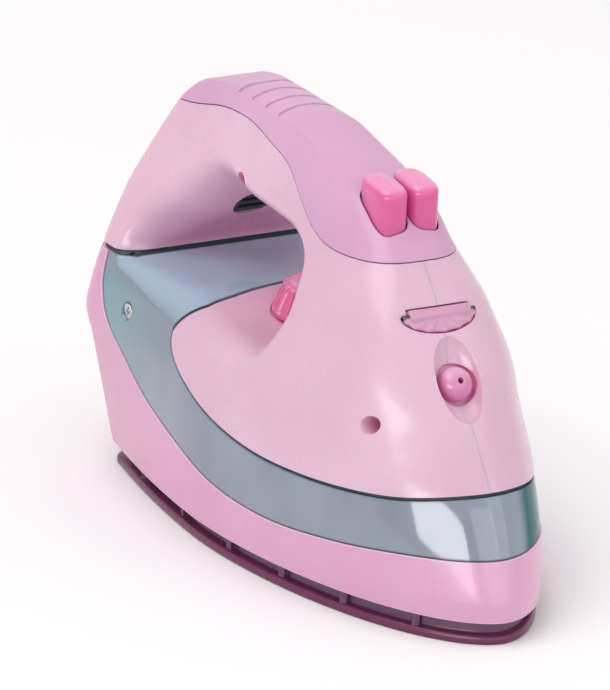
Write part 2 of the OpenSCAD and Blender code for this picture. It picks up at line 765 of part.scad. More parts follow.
module body_shell_right() color([0.94, 0.76, 0.87]) {
    difference() {
        right_shell();
        for (i = [0, 1]) {
            case_screw_place(i) cylinder(d = screw_head_d + move_gap, h = iron_w);
            case_screw_place(i) hole_at_origin(screw_d / 2 + run_gap, iron_w);
        }
    }
}

module body_shell_left() color([0.94, 0.76, 0.87]) {
    difference() {
        mirror([0, 1, 0]) right_shell();
        for (i = [0, 1]) {
            case_screw_place(i) hole_at_origin(screw_d / 2, 2 * case_screw_l + wall);
        }
    }
}

module button_plan(grow) {
    polygon([for (p = button_ring(-grow, 0)) [p[0], p[1]]]);
}

module grip_cover() color([0.84, 0.64, 0.85]) {
    difference() {
        union() {
            intersection() {
                difference() {
                    housing(0, fine_steps);
                    housing(wall, plain_steps);
                }
                side_slab(concat(shifted(cover_line, fit_gap), [[far, far], [-far, far]]));
            }
            intersection() {
                housing(wall / 2, plain_steps);
                for (side = [1, -1]) {
                    translate([button_x, side * button_y, button_foot + fit_gap])
                        linear_extrude(button_cap_h) button_plan(move_gap + sleeve_wall);
                }
            }
        }
        for (side = [1, -1]) {
            translate([button_x, side * button_y, 0]) linear_extrude(far) button_plan(move_gap);
        }
    }
}

function signed_power(v, e) = sign(v) * pow(abs(v), e);
function button_ring(inset, z) = [for (i = [0 : button_points - 1]) let (
    a = 360 * i / button_points,
    x = (button_l / 2 - inset) * signed_power(cos(a), button_round_share))
    [x, (button_w / 2 - inset) * signed_power(sin(a), button_round_share), z - button_tilt_share * x]];

// A button cap with a rounded, slightly tilted top, catches behind and outside that keep it in, and
// a stem.
module button(side) {
    shoulder = button_cap_h - button_round;
    translate([button_x, side * button_y, button_foot]) {
        loft([
            [for (p = button_ring(0, 0)) [p[0], p[1], 0]],
            button_ring(0, shoulder),
            button_ring(button_round * (1 - cos(30)), shoulder + button_round * sin(30)),
            button_ring(button_round * (1 - cos(60)), shoulder + button_round * sin(60)),
            button_ring(button_round, button_cap_h),
            button_ring(button_w / 4 + button_round / 2, button_cap_h + button_dome),
            button_ring(button_w / 2 - touch_gap, button_cap_h + button_dome)]);
        translate([-button_l / 2 - button_flange_out, -button_w / 4, -button_flange_t])
            cube([button_l / 2 + button_flange_out, button_w / 2, button_flange_t]);
        translate([-button_l / 4, side < 0 ? -button_w / 2 - button_flange_out : 0, -button_flange_t])
            cube([button_l / 2, button_w / 2 + button_flange_out, button_flange_t]);
        translate([0, 0, -button_flange_t]) linear_extrude(button_flange_t) button_plan(0);
        translate([0, 0, -button_flange_t - stem_l]) cylinder(r = stem_r, h = stem_l + button_flange_t);
    }
}

module button_spring(side) {
    translate([button_x, side * button_y, board_top + touch_gap])
        coil(spring_r, spring_wire, flange_z - board_top - 2 * touch_gap, spring_turns, 6, 12);
}

module steam_button() color([0.92, 0.36, 0.64]) button(-1);
module spray_button() color([0.92, 0.36, 0.64]) button(1);
module steam_spring() color([0.75, 0.76, 0.78]) button_spring(-1);
module spray_spring() color([0.75, 0.76, 0.78]) button_spring(1);

module button_board() color([0.20, 0.45, 0.28]) {
    translate([button_x - board_l / 2, -board_w / 2, board_top - board_t]) cube([board_l, board_w, board_t]);
}

module button_switches() color([0.15, 0.15, 0.16]) {
    for (side = [1, -1]) {
        translate([button_x, side * button_y, board_top]) {
            translate([-tact_w / 2, -tact_w / 2, 0]) cube([tact_w, tact_w, tact_h]);
            cylinder(r = tact_pin_r, h = tact_h + tact_pin_h);
        }
    }
}

module temperature_dial() color([0.92, 0.36, 0.64]) {
    lean = atan((dial_r - dial_top_r) / dial_h);
    translate([dial_x, 0, dial_z]) difference() {
        rotate_extrude() polygon([[0, 0], [dial_r, 0], [dial_r, dial_round],
            [dial_top_r + dial_round / 2, dial_h - dial_round], [dial_top_r, dial_h - dial_round / 3],
            [dial_top_r - dial_round, dial_h], [0, dial_h]]);
        for (i = [0 : dial_grooves - 1]) {
            rotate([0, 0, 360 * i / dial_grooves]) translate([dial_r, 0, dial_round])
                rotate([0, -lean, 0]) cylinder(r = dial_groove_r, h = 2 * dial_h, $fn = 16);
        }
    }
    difference() {
        translate([dial_x, 0, shaft_end]) cylinder(r = dial_shaft_r, h = dial_z - shaft_end);
        translate([dial_x, 0, shaft_end]) cylinder(d = screw_d, h = dial_screw_l);
    }
}

module dial_screw() color([0.78, 0.79, 0.80]) {
    translate([dial_x, 0, shaft_end - washer_t]) {
        cylinder(r = dial_shaft_r + washer_over, h = washer_t);
        translate([0, 0, -screw_head_h]) mirror([0, 0, 1]) screw(washer_t + dial_screw_l - touch_gap);
    }
}

module filler_flap() color([0.93, 0.72, 0.84]) {
    flap_place() difference() {
        union() {
            rotate([90, 0, 0]) hole_at_origin(barrel_r, barrel_l);
            translate([0, 0, -flap_under]) linear_extrude(flap_under + flap_over) intersection() {
                flap_outline(0);
                translate([barrel_r / 4, -flap_w / 2]) square([2 * flap_h, flap_w]);
            }
        }
        rotate([90, 0, 0]) hole_at_origin(flap_pin_d / 2 + run_gap, 2 * flap_w);
    }
}

module flap_pin() color([0.78, 0.79, 0.80]) {
    flap_place() rotate([90, 0, 0]) hole_at_origin(flap_pin_d / 2, flap_w);
}

module spray_nozzle() color([0.90, 0.62, 0.76]) {
    nozzle_place() difference() {
        union() {
            translate([0, 0, -recess_depth]) {
                cylinder(r1 = nozzle_r, r2 = nozzle_r - nozzle_taper, h = nozzle_stand);
                translate([0, 0, -nozzle_tail])
                    cylinder(r = nozzle_tail_r, h = nozzle_tail + nozzle_stand / 2);
            }
        }
        hole_at_origin(nozzle_bore_r, 8 * recess_depth);
    }
}

module speaker_grille() color([0.07, 0.06, 0.08]) {
    slot = port_r * grille_slot_share;
    slot_l = port_r * grille_slot_l_share;
    port_place() translate([0, 0, -wall - grille_t]) difference() {
        union() {
            cylinder(r = port_r + grille_flange, h = grille_t);
            cylinder(r = port_r - fit_gap, h = grille_t + wall / 2);
        }
        for (i = [0 : grille_slots - 1]) {
            translate([(2 * i - grille_slots + 1) * 2 * slot, 0, 0])
                cube([2 * slot, slot_l, 4 * grille_t], center = true);
        }
    }
}

module speaker() color([0.30, 0.30, 0.33]) {
    port_place() translate([0, 0, -wall - grille_t - speaker_t]) difference() {
        cylinder(r = port_r + grille_flange, h = speaker_t - touch_gap);
        translate([0, 0, speaker_t - cone_sink])
            cylinder(r = port_r + grille_flange - cone_wall, h = speaker_t);
    }
}

module circuit_board() color([0.20, 0.45, 0.28]) {
    translate([box_x, 0, pcb_z]) difference() {
        translate([-pcb_l / 2, -pcb_w / 2, 0]) cube([pcb_l, pcb_w, board_t]);
        board_posts() hole_at_origin(peg_r + touch_gap, 4 * board_t);
    }
}

module board_posts() {
    for (x = [-1, 1], y = [-1, 1]) {
        translate([x * (pcb_l / 2 - 2 * post_r), y * (pcb_w / 2 - 2 * post_r), 0]) children();
    }
}

module board_parts() color([0.12, 0.12, 0.13]) {
    translate([box_x, 0, pcb_z + board_t]) {
        translate([blob_x, 0, 0]) intersection() {
            sphere(r = blob_r);
            cylinder(r = blob_r, h = blob_h);
        }
        translate([can_x, can_y, 0]) cylinder(r = can_r, h = can_h);
        for (y = chip_rows) {
            translate([chip_x, y, 0]) cube([chip_l, chip_w, chip_w]);
        }
    }
}

module lamp() color([0.98, 0.92, 0.75]) {
    translate([lamp_x, 0, lamp_z]) {
        cylinder(r = lamp_r, h = lamp_h - lamp_r);
        translate([0, 0, lamp_h - lamp_r]) sphere(r = lamp_r);
        cylinder(r = lamp_r + lamp_rim, h = lamp_rim_h);
    }
}

module lamp_holder() color([0.93, 0.66, 0.80]) {
    translate([lamp_x, 0, lamp_foot_z]) difference() {
        cylinder(r = lamp_r + wall, h = lamp_stand);
        translate([0, 0, wall]) cylinder(r = lamp_r - lamp_lip, h = lamp_stand);
    }
}

module battery_box() color([0.20, 0.20, 0.22]) {
    foot_l = door_l + 2 * foot_w - 2 * fit_gap;
    foot_wide = door_w + 2 * foot_w - 2 * fit_gap;
    translate([box_x, 0, 0]) {
        difference() {
            union() {
                translate([-box_in_l / 2 - box_wall, -box_in_w / 2 - box_wall, sole_floor])
                    cube([box_in_l + 2 * box_wall, box_in_w + 2 * box_wall, box_top - sole_floor]);
                translate([-foot_l / 2, -foot_wide / 2, sole_floor]) cube([foot_l, foot_wide, foot_t]);
                for (x = [-1, 1]) {
                    translate([x * door_screw_x, 0, sole_floor]) cylinder(r = boss_r, h = door_boss_h);
                }
            }
            translate([-box_in_l / 2, -box_in_w / 2, 0]) cube([box_in_l, box_in_w, box_roof]);
            for (x = [-1, 1]) {
                translate([x * door_screw_x, 0, 0]) {
                    cylinder(r = screw_d / 2 + run_gap, h = sole_floor + door_boss_h - wall / 2);
                    cylinder(r = door_boss_r + move_gap, h = sole_floor + door_boss_rise + fit_gap);
                }
            }
        }
        translate([0, 0, box_top]) board_posts() {
            cylinder(r = post_r, h = post_h);
            cylinder(r = peg_r, h = post_h + board_t);
        }
    }
}

// A place at the end of a cell, with z pointing along the cell from its flat end to its button.
module cell_place(side) {
    translate([box_x + side * (box_in_l / 2 - contact_t), side * cell_y, cell_z])
        rotate([0, -90 * side, 0]) children();
}

module battery_cells() color([0.25, 0.35, 0.55]) {
    nub = cell_d * cell_nub_share;
    for (side = [1, -1]) {
        cell_place(side) translate([0, 0, contact_room - 2 * contact_t]) {
            cylinder(d = cell_d, h = cell_l - nub);
            cylinder(d = cell_d * cell_nub_d_share, h = cell_l);
        }
    }
}

module contact_plates() color([0.80, 0.81, 0.82]) {
    plate = cell_d * contact_share;
    for (side = [1, -1], y = [1, -1]) {
        translate([box_x + side * (box_in_l - contact_t) / 2, y * cell_y, cell_z])
            cube([contact_t, plate, plate], center = true);
    }
}

module contact_springs() color([0.80, 0.81, 0.82]) {
    for (side = [1, -1]) {
        cell_place(side) translate([0, 0, touch_gap])
            coil(cell_d * contact_coil_share, contact_wire, contact_room - 2 * contact_t - 2 * touch_gap,
                contact_turns, 5, 10);
    }
}

module battery_door() color([0.24, 0.12, 0.25]) {
    translate([box_x, 0, door_z]) difference() {
        union() {
            translate([-door_l / 2, -door_w / 2, 0]) cube([door_l, door_w, door_t]);
            for (x = [-1, 1]) {
                translate([x * door_screw_x, 0, 0]) cylinder(r = door_boss_r, h = door_t + door_boss_rise);
            }
        }
        for (x = [-1, 1]) {
            translate([x * door_screw_x, 0, 0]) {
                hole_at_origin(screw_d / 2 + run_gap, 4 * door_t);
                hole_at_origin((screw_head_d + move_gap) / 2, 2 * door_screw_seat);
            }
        }
        for (i = [0 : door_rib_count - 1]) {
            translate([(i - (door_rib_count - 1) / 2) * door_rib_pitch, 0, 0])
                cube([door_rib_w, door_w / 2, 2 * door_rib_depth], center = true);
        }
    }
}

module door_screws() color([0.78, 0.79, 0.80]) {
    for (x = [-1, 1]) {
        translate([box_x + x * door_screw_x, 0, door_z + door_screw_seat - screw_head_h])
            mirror([0, 0, 1]) screw(door_screw_l);
    }
}

module power_slider() color([0.92, 0.36, 0.64]) {
    room = sole_floor - slider_sink;
    translate([switch_x - slider_travel / 2, 0, slider_sink]) {
        translate([-slider_l / 2, -slider_w / 2, 0]) cube([slider_l, slider_w, room - fit_gap]);
        translate([-slider_stem_l / 2, -slider_stem_w / 2, 0])
            cube([slider_stem_l, slider_stem_w, room + slider_stem_h]);
    }
}

module power_switch() color([0.62, 0.63, 0.66]) {
    slot_l = slider_stem_l + slider_travel + 2 * move_gap;
    slot_w = slider_stem_w + 2 * move_gap;
    translate([switch_x, 0, sole_floor]) difference() {
        translate([-switch_l / 2, -switch_w / 2, 0]) cube([switch_l, switch_w, switch_h]);
        cube([slot_l, slot_w, 2 * (slider_stem_h + move_gap)], center = true);
    }
}

module case_screws() color([0.78, 0.79, 0.80]) {
    for (i = [0, 1]) {
        case_screw_place(i) translate([0, 0, screw_head_h]) screw(case_screw_l);
    }
}

module sole_screws() color([0.78, 0.79, 0.80]) {
    for (s = sole_screw_shares) {
        translate(sole_screw_at(s) + [0, 0, screw_sink]) mirror([0, 0, 1]) screw(sole_screw_l);
    }
}

module tank_screws() color([0.78, 0.79, 0.80]) {
    for (side = [1, -1]) {
        tank_screw_place(side) screw(tank_screw_l);
    }
}

soleplate();
base_skirt();
water_tank();
tank_gasket();
body_shell_right();
body_shell_left();
grip_cover();
steam_button();
spray_button();
steam_spring();
spray_spring();
button_board();
button_switches();
temperature_dial();
dial_screw();
filler_flap();
flap_pin();
spray_nozzle();
speaker_grille();
speaker();
circuit_board();
board_parts();
lamp();
lamp_holder();
battery_box();
battery_cells();
contact_plates();
contact_springs();
battery_door();
door_screws();
power_slider();
power_switch();
case_screws();
sole_screws();
tank_screws();
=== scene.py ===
# Toy iron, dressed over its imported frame. Lengths are in millimetres until a mesh is made.
import json
import math
import bpy
import numpy as np
from mathutils import Matrix, Vector


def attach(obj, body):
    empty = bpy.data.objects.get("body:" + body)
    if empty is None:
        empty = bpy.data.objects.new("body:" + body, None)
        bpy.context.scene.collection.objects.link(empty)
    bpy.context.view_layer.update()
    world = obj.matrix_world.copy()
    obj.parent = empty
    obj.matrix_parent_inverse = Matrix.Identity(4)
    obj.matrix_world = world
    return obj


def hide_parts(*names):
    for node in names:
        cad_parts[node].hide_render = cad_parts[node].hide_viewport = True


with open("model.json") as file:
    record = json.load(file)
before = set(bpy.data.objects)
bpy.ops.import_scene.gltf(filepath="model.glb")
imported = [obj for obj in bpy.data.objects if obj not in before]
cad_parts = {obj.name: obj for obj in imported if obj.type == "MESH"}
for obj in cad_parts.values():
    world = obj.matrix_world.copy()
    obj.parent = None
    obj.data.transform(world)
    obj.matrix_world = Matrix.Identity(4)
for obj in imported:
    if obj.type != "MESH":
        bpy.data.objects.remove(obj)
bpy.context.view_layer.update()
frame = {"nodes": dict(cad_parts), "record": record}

scene = bpy.context.scene
print("frame loaded")

# Camera: the photograph's view, a little over the horizon and leaning slightly.
camera = {"azimuth": 60.0, "elevation": 20.0, "roll": 2.7, "distance": 2.8, "lens": 498.9, "sensor": 36.0,
          "clip": (0.1, 60.0), "aim": (-0.0009, -0.0168, 0.0624)}


def directions(azimuth, elevation, roll=0.0):
    a, e, r = math.radians(azimuth), math.radians(elevation), math.radians(roll)
    back = Vector((math.sin(a) * math.cos(e), -math.cos(a) * math.cos(e), math.sin(e)))
    right = Vector((math.cos(a), math.sin(a), 0.0))
    up = back.cross(right)
    return back, right * math.cos(r) + up * math.sin(r), up * math.cos(r) - right * math.sin(r)



back, right, up = directions(camera["azimuth"], camera["elevation"], camera["roll"])
eyePlace = Vector(camera["aim"]) + back * camera["distance"]
lensData = bpy.data.cameras.new("photoCamera")
lensData.lens, lensData.sensor_width, lensData.sensor_fit = camera["lens"], camera["sensor"], "AUTO"
lensData.clip_start, lensData.clip_end = camera["clip"]
eye = bpy.data.objects.new("photoCamera", lensData)
eye.matrix_world = Matrix.Translation(eyePlace) @ Matrix((right, up, back)).transposed().to_4x4()
scene.collection.objects.link(eye)
scene.camera = eye

# Finishes: a socket wrapper for the maths, and one method for every other node.


class Wire:
    def __init__(self, finish, socket):
        self.finish, self.socket = finish, socket

    def maths(self, operation, first, second):
        return self.finish.node("ShaderNodeMath", {"operation": operation}, [first, second])

    def __add__(self, other):
        return self.maths("ADD", self, other)

    def __radd__(self, other):
        return self.maths("ADD", other, self)

    def __sub__(self, other):
        return self.maths("SUBTRACT", self, other)

    def __rsub__(self, other):
        return self.maths("SUBTRACT", other, self)

    def __mul__(self, other):
        return self.maths("MULTIPLY", self, other)


class Finish:
    def __init__(self, name):
        self.material = bpy.data.materials.new(name)
        self.material.use_nodes = True
        self.tree = self.material.node_tree
        self.tree.nodes.clear()

    def node(self, kind, settings=None, inputs=(), output=0):
        made = self.tree.nodes.new(kind)
        for key, value in (settings or {}).items():
            setattr(made, key, value)
        for key, value in inputs.items() if isinstance(inputs, dict) else enumerate(inputs):
            if isinstance(value, Wire):
                self.tree.links.new(value.socket, made.inputs[key])
            else:
                made.inputs[key].default_value = value
        return Wire(self, made.outputs[output]) if len(made.outputs) else None

    def place(self):
        return self.node("ShaderNodeTexCoord", output="Object")

    def noise(self, place, scale, detail=2.0, roughness=0.5):
        return self.node("ShaderNodeTexNoise", inputs={
            "Vector": place, "Scale": scale, "Detail": detail, "Roughness": roughness})

    def part(self, vector, axis):
        return self.node("ShaderNodeSeparateXYZ", inputs=[vector], output=axis)

    def between(self, factor, first, second):
        first, second = ((*tone, 1.0) if isinstance(tone, tuple) else tone for tone in (first, second))
        return self.node("ShaderNodeMix", {"data_type": "RGBA"}, {0: factor, 6: first, 7: second}, output=2)

    def band(self, value, low, high):
        return self.node("ShaderNodeMapRange", {"clamp": True, "interpolation_type": "SMOOTHSTEP"}, {
            "Value": value, "From Min": low, "From Max": high, "To Min": 0.0, "To Max": 1.0})

    def close(self, shader):
        self.node("ShaderNodeOutputMaterial", inputs={"Surface": shader})
        return self.material


# What every finish starts from. Bands are ranges that a mask rises over.
plastic = {"cloudScale": 16.0, "cloudBand": (0.3, 0.7), "cloudRough": 0.10, "rippleScale": 150.0,
           "ripple": 0.12, "grainScale": 2600.0, "grain": 0.02, "grainRough": 0.08, "samples": 6,
           "edge": 0.0004, "paintedEdgeBand": (0.01, 0.12), "paintedEdgeShare": 0.22, "paintedEdgeRough": 0.06,
           "paintedTopLightBand": (0.35, 0.95), "paintedFoldShadeBand": (0.25, 0.95), "paintedFoldShadeReach": 0.035, "footBlend": 0.0002,
           "bump": 0.5, "bumpHeight": 0.0003, "rimBlend": 0.35, "ior": 1.47, "glow": 0.0,
           "glowColour": (1.0, 0.5, 0.6), "glowDepth": 0.002, "coat": 0.0, "coatRough": 0.12,
           "metal": 0.0, "clear": 0.0}


def mouldedPlastic(name, special):
    finish, look = Finish(name), {**plastic, **special}
    place = finish.place()
    cloud = finish.noise(place, look["cloudScale"], 3.0)
    ripple = finish.noise(place, look["rippleScale"], 2.0)
    grain = finish.noise(place, look["grainScale"], 2.0, 0.6)
    edge = finish.node("ShaderNodeBevel", {"samples": look["samples"]}, {"Radius": look["edge"]})
    flat = finish.node("ShaderNodeNewGeometry", output="Normal")
    turn = finish.node("ShaderNodeVectorMath", {"operation": "DOT_PRODUCT"}, [edge, flat], output="Value")
    # Edges within the bevel's reach: the mask of the painted edge highlight, which is painted groove shade on
    # the tank.
    paintedEdge = finish.band(1.0 - turn, *look["paintedEdgeBand"])
    tone = finish.between(finish.band(cloud, *look["cloudBand"]), look["deep"], look["light"])
    # Painted edge tint: the tank's own teal, painted darker over its rear below the top, where refraction at
    # the clear plastic's edge deepens it.
    if "tail" in look:
        behind = 1.0 - finish.band(finish.part(place, "X"), *look["tailRange"])
        below = 1.0 - finish.band(finish.part(place, "Z"), *look["tailTop"])
        tone = finish.between(behind * below, tone, look["tail"])
    # Painted top light: faces that turn upward are mixed toward a lighter colour, as if lit from above.
    if "paintedTopLight" in look:
        upward = finish.band(finish.part(flat, "Z"), *look["paintedTopLightBand"])
        tone = finish.between(upward * look["paintedTopLightShare"], tone, look["paintedTopLight"])
    # Painted shade: hollows and creases found by ambient occlusion are mixed toward a deeper, warmer pink.
    if "paintedFoldShade" in look:
        openness = finish.node("ShaderNodeAmbientOcclusion", {"samples": look["samples"]},
                               {"Distance": look["paintedFoldShadeReach"]}, output="AO")
        shut = finish.band(1.0 - openness, *look["paintedFoldShadeBand"])
        tone = finish.between(shut * look["paintedFoldShadeShare"], tone, look["paintedFoldShade"])
    if "foot" in look:
        above = finish.band(finish.part(place, "Z"), look["footTop"] - look["footBlend"], look["footTop"])
        tone = finish.between(above, look["foot"], tone)
    # Painted edge light: rounded edges take a lighter colour, as if catching the light. On the tank this
    # colour is a dark teal, painted shade along its grooves.
    tone = finish.between(paintedEdge * look["paintedEdgeShare"], tone, look["paintedEdge"])
    rough = (look["rough"] + (cloud - 0.5) * look["cloudRough"] + (grain - 0.5) * look["grainRough"]
             + paintedEdge * look["paintedEdgeRough"])
    relief = ripple * look["ripple"] + grain * look["grain"]
    normal = finish.node("ShaderNodeBump", {}, {
        "Strength": look["bump"], "Distance": look["bumpHeight"], "Height": relief, "Normal": edge})
    shared = {"Roughness": rough, "Normal": normal, "Transmission Weight": look["clear"]}
    shader = finish.node("ShaderNodeBsdfPrincipled", {}, {
        **shared, "Base Color": tone, "IOR": look["ior"], "Metallic": look["metal"],
        "Subsurface Weight": look["glow"], "Subsurface Radius": look["glowColour"],
        "Subsurface Scale": look["glowDepth"], "Coat Weight": look["coat"],
        "Coat Roughness": look["coatRough"]})
    if "rim" in look:
        facing = finish.node("ShaderNodeLayerWeight", inputs={"Blend": look["rimBlend"]}, output="Facing")
        ahead = finish.band(finish.part(place, "X"), *look["rimFront"])
        rimShader = finish.node("ShaderNodeBsdfPrincipled", {}, {
            **shared, "Base Color": (*look["rim"], 1.0), "IOR": look["rimIor"]})
        share = finish.band(facing, *look["rimRange"]) * ahead
        shader = finish.node("ShaderNodeMixShader", {}, [share, shader, rimShader])
    return finish.close(shader)


# In every look the edge colour is a painted edge highlight, and on the tank it is painted groove shade.
looks = {
    # The body's hollow colour is painted shade in its creases and hollows.
    "body": {"deep": (0.690, 0.430, 0.550), "light": (0.750, 0.495, 0.615), "paintedEdge": (0.93, 0.78, 0.87),
             "rough": 0.27, "glow": 0.35, "glowDepth": 0.004, "glowColour": (1.0, 0.35, 0.45), "coat": 0.25,
             "edge": 0.00025, "paintedFoldShade": (0.820, 0.270, 0.480), "paintedFoldShadeShare": 1.0},
    "skirt": {"deep": (0.660, 0.305, 0.480), "light": (0.720, 0.370, 0.548), "paintedEdge": (0.95, 0.80, 0.89),
              "rough": 0.25, "glow": 0.25, "glowDepth": 0.004, "glowColour": (1.0, 0.35, 0.45), "coat": 0.35,
              "paintedEdgeShare": 0.75, "edge": 0.0008},
    "grip": {"deep": (0.610, 0.325, 0.510), "light": (0.680, 0.390, 0.575), "paintedEdge": (0.84, 0.66, 0.84),
             "rough": 0.33, "glow": 0.15, "coat": 0.12},
    # The accent's upward colour is painted light on the tops of the buttons and the dial.
    "accent": {"deep": (0.660, 0.085, 0.285), "light": (0.740, 0.145, 0.370), "paintedEdge": (0.95, 0.55, 0.72),
               "rough": 0.22, "glow": 0.5, "glowDepth": 0.006, "glowColour": (1.0, 0.22, 0.4), "coat": 0.4,
               "edge": 0.0006, "paintedTopLight": (0.870, 0.420, 0.640), "paintedTopLightShare": 0.6},
    "flap": {"deep": (0.600, 0.290, 0.440), "light": (0.660, 0.350, 0.500), "paintedEdge": (0.92, 0.76, 0.86),
             "rough": 0.28, "glow": 0.2, "glowColour": (1.0, 0.35, 0.45), "coat": 0.2},
    # The nozzle's upward colour is painted light on its top.
    "nozzle": {"deep": (0.600, 0.190, 0.380), "light": (0.680, 0.260, 0.460), "paintedEdge": (0.92, 0.70, 0.82),
               "rough": 0.25, "glow": 0.3, "glowColour": (1.0, 0.3, 0.45), "coat": 0.3,
               "paintedTopLight": (0.760, 0.450, 0.620), "paintedTopLightShare": 0.7},
    # The tank's edge colour is a dark teal, painted shade along the grooves round it.
    "tank": {"deep": (0.215, 0.245, 0.315), "light": (0.300, 0.340, 0.420), "paintedEdge": (0.040, 0.150, 0.170),
             # The tank's rear colour is a painted edge tint: darker teal where refraction at the edge deepens
             # the plastic's own teal.
             "tail": (0.170, 0.350, 0.400), "tailRange": (-0.085, -0.035), "tailTop": (0.058, 0.066),
             # The tank's upward colour is painted light on its top faces.
             "paintedTopLight": (0.405, 0.560, 0.710), "paintedTopLightShare": 0.8, "rim": (0.035, 0.150, 0.160),
             "rimRange": (0.33, 0.50), "rimFront": (0.020, 0.050), "rimIor": 1.15, "rough": 0.12,
             "coat": 0.7, "coatRough": 0.05, "clear": 0.15, "ior": 1.49, "ripple": 0.05, "grain": 0.01,
             "cloudScale": 22.0, "paintedEdgeShare": 0.7, "edge": 0.0009},
    "sole": {"deep": (0.115, 0.034, 0.088), "light": (0.160, 0.054, 0.124), "paintedEdge": (0.42, 0.27, 0.38),
             "foot": (0.140, 0.014, 0.070), "footTop": 0.0027, "rough": 0.27, "coat": 0.2, "paintedEdgeShare": 0.5},
    "blackPlastic": {"deep": (0.020, 0.018, 0.022), "light": (0.034, 0.030, 0.036),
                     "paintedEdge": (0.12, 0.11, 0.12), "rough": 0.38},
    "gasket": {"deep": (0.022, 0.042, 0.052), "light": (0.036, 0.062, 0.074), "paintedEdge": (0.08, 0.12, 0.13),
               "rough": 0.55},
    "board": {"deep": (0.020, 0.120, 0.045), "light": (0.035, 0.180, 0.070), "paintedEdge": (0.5, 0.5, 0.3),
              "rough": 0.40, "coat": 0.3},
    "steel": {"deep": (0.52, 0.53, 0.55), "light": (0.66, 0.67, 0.69), "paintedEdge": (0.85, 0.85, 0.86),
              "rough": 0.26, "metal": 1.0, "grain": 0.15},
    "pin": {"deep": (0.10, 0.085, 0.10), "light": (0.16, 0.14, 0.16), "paintedEdge": (0.30, 0.28, 0.30),
            "rough": 0.35, "metal": 1.0, "grain": 0.15},
    "lamp": {"deep": (0.85, 0.78, 0.55), "light": (0.93, 0.88, 0.70), "paintedEdge": (0.95, 0.93, 0.85),
             "rough": 0.15, "coat": 0.4},
    "cell": {"deep": (0.045, 0.090, 0.240), "light": (0.070, 0.130, 0.300), "paintedEdge": (0.6, 0.6, 0.62),
             "rough": 0.28, "metal": 0.3, "coat": 0.3},
}
finishes = {name: mouldedPlastic(name + "Finish", look) for name, look in looks.items()}
# The record's material slots have the looks' names, but for this one.
finishes["black_plastic"] = finishes["blackPlastic"]
print("finishes made:", len(looks))

# The housing: sections from the sole up as shares of the iron's sizes, smoothed between.
millimetre = 0.001
iron = {"length": 187.0, "width": 89.0, "height": 124.0, "wall": 2.0, "seamGap": 1.1, "footGroove": 1.6,
        "skirtGap": 0.3, "coverGap": 0.3, "moveGap": 0.4, "soleHeight": 7.0, "tankSink": 0.35}
# Each row: height, front, rear, widest place, half width, heel's half width, squareness of the nose.
sections = [
    (0.030, 0.979, 0.045, 0.435, 0.955, 0.780, 1.80), (0.056, 1.006, 0.040, 0.435, 0.980, 0.800, 1.80),
    (0.194, 0.979, 0.022, 0.435, 1.000, 0.860, 1.85), (0.323, 0.940, 0.008, 0.425, 0.975, 0.925, 1.90),
    (0.395, 0.905, 0.000, 0.415, 0.955, 0.965, 1.95), (0.460, 0.872, 0.000, 0.405, 0.920, 0.930, 2.05),
    (0.516, 0.844, 0.000, 0.400, 0.880, 0.880, 2.25), (0.573, 0.816, 0.000, 0.430, 0.785, 0.815, 2.50),
    (0.621, 0.791, 0.000, 0.460, 0.690, 0.755, 2.75), (0.686, 0.757, 0.000, 0.480, 0.600, 0.665, 2.95),
    (0.742, 0.727, 0.003, 0.490, 0.505, 0.570, 3.00), (0.794, 0.693, 0.008, 0.495, 0.430, 0.480, 2.95),
    (0.863, 0.648, 0.021, 0.490, 0.370, 0.380, 2.80), (0.911, 0.599, 0.032, 0.480, 0.312, 0.298, 2.60),
    (0.960, 0.488, 0.072, 0.430, 0.238, 0.230, 2.20), (0.985, 0.393, 0.150, 0.370, 0.202, 0.196, 2.00),
    (1.000, 0.336, 0.202, 0.310, 0.056, 0.050, 2.00)]
housing = {"heelCorner": 0.18, "flankBend": 1.65, "insideDrop": 0.8, "thin": 0.01, "samples": 1600,
           "lengthShare": 0.6, "crownEnd": 1.46, "crownHeel": 0.98, "crownNose": 2.0}
fine = {"nose": 84, "flank": 64, "corner": 12, "heel": 18, "rings": 130, "crown": 14}
plain = {"nose": 30, "flank": 22, "corner": 6, "heel": 6, "rings": 44, "crown": 4}


def xAt(share):
    return (share - 0.5) * iron["length"]


def zAt(share):
    return share * iron["height"]


def yAt(share):
    return share * iron["width"] / 2


def blend(points, t):
    points, t = np.asarray(points, float), np.atleast_1d(np.asarray(t, float))
    last = len(points) - 1
    i = np.clip(np.floor(t).astype(int), 0, last - 1)
    u = (t - i)[:, None]
    a, b, c, d = (points[np.clip(i + k, 0, last)] for k in (-1, 0, 1, 2))
    return 0.5 * (2 * b + (c - a) * u + (2 * a - 5 * b + 4 * c - d) * u ** 2
                  + (3 * b - a - 3 * c + d) * u ** 3)


def curve(shares, steps):
    points = [(xAt(s[0]), zAt(s[1])) for s in shares]
    return blend(points, np.arange((len(points) - 1) * steps + 1) / steps)


def blendLoop(points, steps):
    points = np.asarray(points, float)
    count = len(points)
    wrapped = np.concatenate([points[-1:], points, points[:2]])
    return blend(wrapped, 1 + np.arange(count * steps) / steps)


def shifted(line, d):
    way = np.gradient(line, axis=0)
    way[0], way[-1] = line[1] - line[0], line[-1] - line[-2]
    way /= np.linalg.norm(way, axis=1)[:, None]
    return line + d * np.column_stack([-way[:, 1], way[:, 0]])


def travelled(line):
    return np.concatenate([[0], np.cumsum(np.linalg.norm(np.diff(line, axis=0), axis=1))])


def resampled(line, count):
    way = travelled(line)
    goal = np.linspace(0, way[-1], count + 1)
    return np.column_stack([np.interp(goal, way, line[:, k]) for k in range(line.shape[1])])


